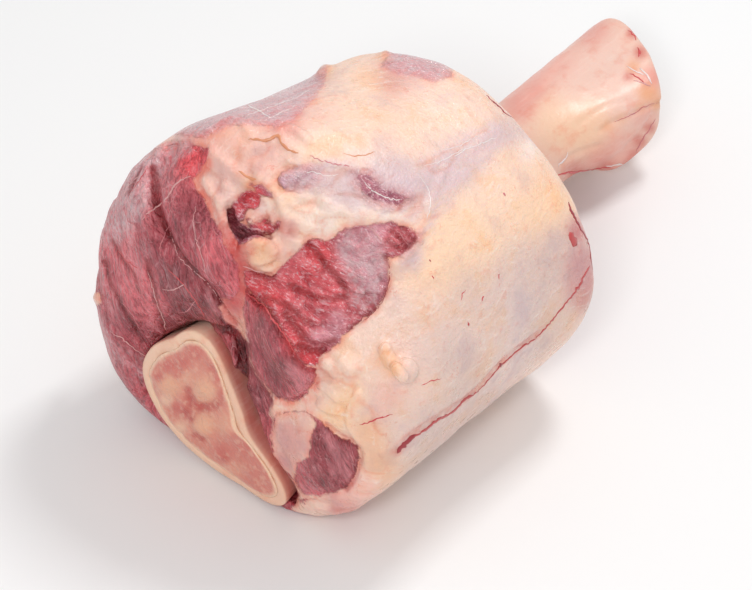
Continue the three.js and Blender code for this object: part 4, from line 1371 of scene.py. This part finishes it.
marrow_material, tree, where = new_material("marrow")
tone = tree.attribute("marrow_tone", True)
lump = tree.noise(where, 0.3, 4.0, 0.6)
pore = tree.cells(where, 0.55)
mottled = tree.mix(tree.ramp(lump, 0.48, 0.66, 0.0, 0.5), tone, (0.8, 0.45, 0.33, 1))
pored = tree.mix(tree.ramp(pore, 0.1, 0.3, 0.22, 0.0), mottled, (0.6, 0.24, 0.2, 1))
bump = tree.node("ShaderNodeBump", {"Height": tree.math("ADD", lump, pore), "Distance": 0.0009,
                                    "Strength": 0.5})
moist = use_group(tree, "Moist", Where=where, Dry=0.5, Wet=0.32)["Roughness"]
finish_material(tree, tree.node("ShaderNodeBsdfPrincipled", {
    "Base Color": pored, "Roughness": moist, "Normal": bump.outputs[0], "Subsurface Weight": 0.15,
    "Subsurface Radius": (1.0, 0.4, 0.25), "Subsurface Scale": 0.003,
    "Coat Weight": 0.4, "Coat Roughness": 0.15}))

bone = add_piece("leg_bone", bone_points, bone_faces, bone_material, "shin_bone")
set_colours(bone, "bone_tone", bone_tone)
marrow = add_piece("sawn_marrow", marrow_points, marrow_faces, marrow_material, "marrow")
set_colours(marrow, "marrow_tone", marrow_tone)

# %% [markdown]
# ## Threads and the clot
# White threads of fascia lie on the cut muscle, a vein runs along the side and drops of blood dot the
# fat. Painted lines would be flat, so each is a flattened tube laid on the mesh itself, half sunk in it.
# Rays through the pixels of its path find where it lies.

# %% Name the threads
THREADS = (
    # pixels, half width in mm, tone
    ([(191, 176), (183, 179), (173, 188), (166, 199), (158, 206), (146, 214), (140, 221)], 0.5, "pink"),
    ([(168, 227), (175, 246), (178, 256), (189, 267), (206, 282), (216, 294), (223, 305)], 0.28, "pink"),
    ([(196, 206), (193, 219), (195, 236), (199, 249), (204, 262), (206, 274)], 0.35, "pink"),
    ([(207, 231), (213, 228), (219, 238), (226, 255), (230, 271)], 0.35, "rose"),
    ([(161, 289), (171, 290), (184, 285), (191, 287)], 0.35, "pink"),
    ([(148, 272), (153, 289), (157, 303), (163, 318), (167, 334)], 0.4, "pink"),
    ([(178, 314), (189, 309), (196, 299)], 0.35, "rose"),
    ([(123, 204), (128, 221), (136, 226), (138, 241)], 0.45, "rose"),
    ([(170, 226), (164, 236), (160, 248), (162, 260)], 0.35, "rose"),
    ([(118, 249), (124, 258), (132, 264), (138, 268)], 0.5, "red"),
    ([(168, 269), (180, 281), (189, 292), (198, 305), (206, 319)], 0.55, "red"),
    ([(131, 193), (140, 179), (148, 168)], 0.4, "red"),
    ([(112, 285), (120, 300), (130, 312), (140, 330)], 0.35, "rose"),
    ([(126, 262), (136, 282), (142, 300)], 0.35, "rose"),
    ([(110, 332), (124, 340), (138, 352), (148, 357)], 0.45, "pink"),
    ([(124, 190), (132, 182), (142, 172)], 0.35, "pink"),
    ([(164, 150), (176, 146), (192, 147)], 0.35, "pink"),
    ([(246, 293), (262, 304), (272, 318), (285, 336), (296, 356)], 0.5, "red"),
    ([(258, 318), (266, 340), (276, 362)], 0.3, "rose"),
    ([(243, 266), (252, 270), (264, 273)], 0.45, "pink"),
    ([(388, 258), (390, 272), (387, 290), (378, 308), (362, 322)], 0.3, "vein"),
    ([(368, 225), (378, 236), (386, 248)], 0.35, "pink"),
    ([(396, 230), (403, 238), (408, 246)], 0.35, "rose"),
    ([(360, 178), (372, 190), (388, 198), (402, 200)], 0.35, "white"),
    ([(213, 100), (230, 101), (246, 105), (257, 110), (272, 118)], 0.5, "white"),
    ([(236, 118), (256, 112), (276, 105), (296, 97), (310, 89)], 0.4, "white"),
    ([(262, 121), (280, 113), (300, 104)], 0.35, "white"),
    ([(300, 174), (312, 172), (326, 176), (340, 174)], 0.3, "white"),
    ([(420, 176), (428, 190), (430, 206), (426, 222)], 0.4, "white"),
    ([(452, 158), (466, 150), (484, 142), (500, 136)], 0.35, "white"),
    ([(440, 150), (458, 146), (478, 136)], 0.3, "white"),
    ([(424, 166), (444, 160), (462, 150), (478, 146)], 0.3, "white"),
    ([(397, 453), (403, 446), (411, 438), (416, 435)], 1.6, "vein"),
    ([(410, 438), (424, 431), (438, 420), (454, 411), (464, 400), (478, 392)], 1.1, "blood"),
    ([(474, 394), (486, 383), (499, 367), (508, 360), (518, 350), (540, 336)], 0.7, "blood"),
    ([(500, 363), (501, 367)], 1.2, "vein"),
    ([(536, 338), (551, 322), (565, 304), (576, 292)], 0.9, "blood"),
    ([(572, 296), (580, 285), (584, 276), (590, 266)], 1.3, "blood"),
    ([(568, 202), (573, 214), (580, 227), (587, 240), (591, 256), (593, 270)], 1.4, "vein"),
    ([(486, 95), (494, 102), (504, 112), (516, 120)], 1.0, "vein"),
    ([(360, 425), (370, 422), (380, 418), (393, 414)], 0.5, "red"),
    ([(422, 385), (432, 381), (442, 378)], 0.4, "red"),
    ([(466, 289), (463, 294), (461, 301)], 0.4, "red"),
    ([(484, 296), (482, 301)], 0.5, "red"),
    ([(429, 259), (431, 262)], 0.6, "blood"),
    ([(468, 322), (469, 326)], 0.7, "blood"),
    ([(432, 275), (434, 279)], 0.4, "red"),
    ([(500, 274), (499, 280)], 0.4, "red"),
    ([(503, 192), (505, 196)], 0.7, "rose"),
    # The next two ochre threads are painted shadow, laid under folds of the fat string.
    ([(248, 139), (258, 140), (268, 140), (277, 135), (281, 142), (288, 149), (298, 153)], 0.9, "ochre"),
    ([(238, 171), (246, 176), (256, 180), (260, 177)], 0.8, "ochre"),
    ([(308, 154), (320, 160), (336, 164), (356, 167)], 0.4, "rose"),
    ([(342, 153), (358, 156), (376, 152)], 0.4, "ochre"),
    ([(569, 234), (573, 239), (576, 245)], 3.2, "blood"),
)
THREAD_COLOURS = {"white": (238, 218, 214), "pink": (220, 160, 158), "rose": (204, 118, 122),
                  "red": (206, 72, 76), "blood": (190, 72, 72), "vein": (158, 44, 52), "clot": (196, 40, 40),
                  "ochre": (216, 142, 104)}
BONE_THREADS = (
    ([(554, 175), (575, 172), (595, 169), (610, 167)], 0.8, "red"),
    ([(655, 120), (647, 132), (641, 142), (636, 153)], 0.5, "rose"),
    ([(664, 100), (652, 104), (641, 109), (628, 116), (614, 122)], 0.3, "rose"),
    ([(627, 66), (635, 71), (645, 75)], 0.6, "white"),
    ([(640, 68), (647, 75), (652, 84)], 0.6, "white"),
    ([(634, 80), (642, 83), (650, 86)], 0.5, "pink"),
    ([(630, 74), (638, 77), (645, 84)], 0.5, "red"),
    ([(628, 31), (633, 34), (636, 39)], 0.7, "red"),
    ([(638, 48), (640, 52), (639, 57)], 0.7, "red"),
    ([(558, 166), (563, 160), (568, 153)], 0.7, "white"),
    ([(606, 166), (616, 165), (626, 164)], 0.9, "white"),
)
CLOT = (((622, 168), 1.7), ((627, 170), 2.2), ((631, 166), 1.6))   # pixel, radius in mm
THREAD_SIDES = 8
THREAD_RISE = -0.05                    # how far a thread's middle is above the surface, mm
THREAD_FULLNESS = 0.85
THREAD_STEP = 2.5                      # pixels between two rings
THREAD_WAVER = 0.45                    # how far a thread strays from its path, in pixels
print(len(THREADS), "threads on the meat,", len(BONE_THREADS), "on the bone")

# %% Lay the threads
meat_tree = BVHTree.FromPolygons(meat_points.tolist(), meat_quads.tolist())
bone_tree = BVHTree.FromPolygons(bone_points.tolist(), bone_faces)


def laid(tree, pixels, step, seed):
    """Points and normals where the rays of a wavering curve of pixels meet a mesh."""
    line = curve(pixels, step)
    waver = np.random.default_rng(seed).normal(0, THREAD_WAVER, line.shape)
    points, normals = [], []
    for ray in pixel_rays(line + waver):
        hit, normal, _, _ = tree.ray_cast(Vector(EYE), Vector(ray))
        if hit is not None:
            points.append(hit)
            normals.append(normal)
    return np.array(points), np.array(normals)


def thread_mesh(points, normals, half_width, seed):
    """A flattened tube along a laid curve, thinner at both ends."""
    along = np.gradient(points, axis=0)
    along /= np.linalg.norm(along, axis=1, keepdims=True) + 1e-9
    side = np.cross(normals, along)
    side /= np.linalg.norm(side, axis=1, keepdims=True) + 1e-9
    t = np.linspace(0, 1, len(points))
    uneven = np.random.default_rng(seed + 100).uniform(0.6, 1.15, len(points))
    size = THREAD_FULLNESS * half_width * uneven * (0.3 + 0.7 * np.sin(math.pi * t) ** 0.5)
    angle = np.arange(THREAD_SIDES) / THREAD_SIDES * 2 * math.pi
    rings = [p + s * w * np.cos(a) + n * (min(w, 0.6) * 0.55 * np.sin(a) + THREAD_RISE)
             for p, n, s, w in zip(points, normals, side, size) for a in angle]
    faces = []
    for i in range(len(points) - 1):
        for j in range(THREAD_SIDES):
            k = (j + 1) % THREAD_SIDES
            faces.append((i * THREAD_SIDES + j, i * THREAD_SIDES + k, (i + 1) * THREAD_SIDES + k,
                          (i + 1) * THREAD_SIDES + j))
    faces.append(tuple(range(THREAD_SIDES))[::-1])
    faces.append(tuple(range((len(points) - 1) * THREAD_SIDES, len(points) * THREAD_SIDES)))
    return np.array(rings), faces


def thread_material(name, colour):
    material, tree, where = new_material(name)
    finish_material(tree, tree.node("ShaderNodeBsdfPrincipled", {
        "Base Color": (*linear(colour), 1), "Roughness": 0.35, "Subsurface Weight": 0.15,
        "Subsurface Radius": (1.0, 0.4, 0.3), "Subsurface Scale": 0.002,
        "Coat Weight": 0.25, "Coat Roughness": 0.15}))
    return material


thread_materials = {name: thread_material("thread_" + name, c) for name, c in THREAD_COLOURS.items()}
on_meat = [(meat_tree, "meat") + thread for thread in THREADS]
on_bone = [(bone_tree, "bone") + thread for thread in BONE_THREADS]
for number, (tree, slot, pixels, half_width, tone) in enumerate(on_meat + on_bone):
    points, normals = laid(tree, pixels, THREAD_STEP, number)
    if len(points) < 3:
        print("thread", number, "misses the joint")
        continue
    points, faces = thread_mesh(points, normals, half_width, number)
    add_piece(f"thread_{number:02d}", points, faces, thread_materials[tone])

# %% Add the clot
BALL_ROWS, BALL_SIDES = 10, 16


def ball(centre, radius):
    """A closed ball as rows of four-sided faces between two points."""
    rise = np.arange(1, BALL_ROWS) / BALL_ROWS * math.pi
    turn = np.arange(BALL_SIDES) / BALL_SIDES * 2 * math.pi
    rows = [(math.sin(a) * math.cos(b), math.sin(a) * math.sin(b), math.cos(a)) for a in rise for b in turn]
    faces = []
    for i in range(BALL_ROWS - 2):
        for j in range(BALL_SIDES):
            k = (j + 1) % BALL_SIDES
            faces.append((i * BALL_SIDES + j, (i + 1) * BALL_SIDES + j, (i + 1) * BALL_SIDES + k,
                          i * BALL_SIDES + k))
    top, base = len(rows), (BALL_ROWS - 2) * BALL_SIDES
    for j in range(BALL_SIDES):
        k = (j + 1) % BALL_SIDES
        faces += [(top, j, k), (top + 1, base + k, base + j)]
    return centre + radius * np.array(rows + [(0, 0, 1), (0, 0, -1)]), faces


for number, (pixel, radius) in enumerate(CLOT):
    ray = pixel_rays(pixel)[0]
    t = (np.array([KNUCKLE_X, 0, 30]) - EYE) @ ray
    nearest, _, _, _ = bone_tree.find_nearest(Vector(EYE + ray * t))
    points, faces = ball(np.array(nearest), radius)
    add_piece(f"clot_{number}", points, faces, thread_materials["clot"])

# %% [markdown]
# ## Floor, light and camera
# The floor is plain and pale. A soft light hangs over the far right, as the photo's shadows show, with
# another at the front and a pale sky, so that the wet muscle glints and the shadows stay soft.

# %% Add the floor and the lights
floor_material = bpy.data.materials.new("floor")
floor_material.use_nodes = True
floor_surface = floor_material.node_tree.nodes["Principled BSDF"]
floor_surface.inputs["Base Color"].default_value = (0.88, 0.88, 0.88, 1)
floor_surface.inputs["Roughness"].default_value = 0.8
bpy.ops.mesh.primitive_plane_add(size=30, location=(0, 0, -0.0004))
floor = bpy.context.object
floor.name = "floor"
floor.data.materials.append(floor_material)


def add_area(name, direction, distance, size, power, colour=(1, 1, 1)):
    light = bpy.data.lights.new(name, "AREA")
    light.size = size
    light.energy = power
    light.color = colour
    made = bpy.data.objects.new(name, light)
    bpy.context.scene.collection.objects.link(made)
    away = Vector(direction).normalized()
    target = Vector(to_frame(MIDDLE))
    made.location = target + away * distance
    made.rotation_euler = (-away).to_track_quat("-Z", "Y").to_euler()
    return made


IMAGE_RIGHT = Vector(RIGHT)
IMAGE_AWAY = Vector((0.76, 0.65, 0.0))
UPWARD = Vector((0, 0, 1))
add_area("key", UPWARD * 0.85 + IMAGE_RIGHT * 0.3 + IMAGE_AWAY * 0.3, 1.1, 0.24, 4.6)
add_area("front", UPWARD * 0.7 - IMAGE_AWAY * 0.7 - IMAGE_RIGHT * 0.1, 1.2, 0.24, 3.9)
world = bpy.data.worlds.new("sky")
world.use_nodes = True
world.node_tree.nodes["Background"].inputs["Color"].default_value = (1.0, 1.0, 1.0, 1)
world.node_tree.nodes["Background"].inputs["Strength"].default_value = 0.63
bpy.context.scene.world = world

# %% Add the camera
camera_data = bpy.data.cameras.new("photo_camera")
camera_data.sensor_width = 36.0
camera_data.lens = FOCAL_PIXELS / IMAGE_SIZE[0] * camera_data.sensor_width
camera_data.clip_end = 50.0
camera = bpy.data.objects.new("photo_camera", camera_data)
bpy.context.scene.collection.objects.link(camera)
camera.location = to_frame(EYE)
camera.rotation_mode = "QUATERNION"
camera.rotation_quaternion = Vector(-BACK).to_track_quat("-Z", "Y")
bpy.context.scene.camera = camera
bpy.context.scene.view_settings.view_transform = "Standard"
print("camera at", [round(v, 3) for v in camera.location], "lens", round(camera_data.lens, 1))
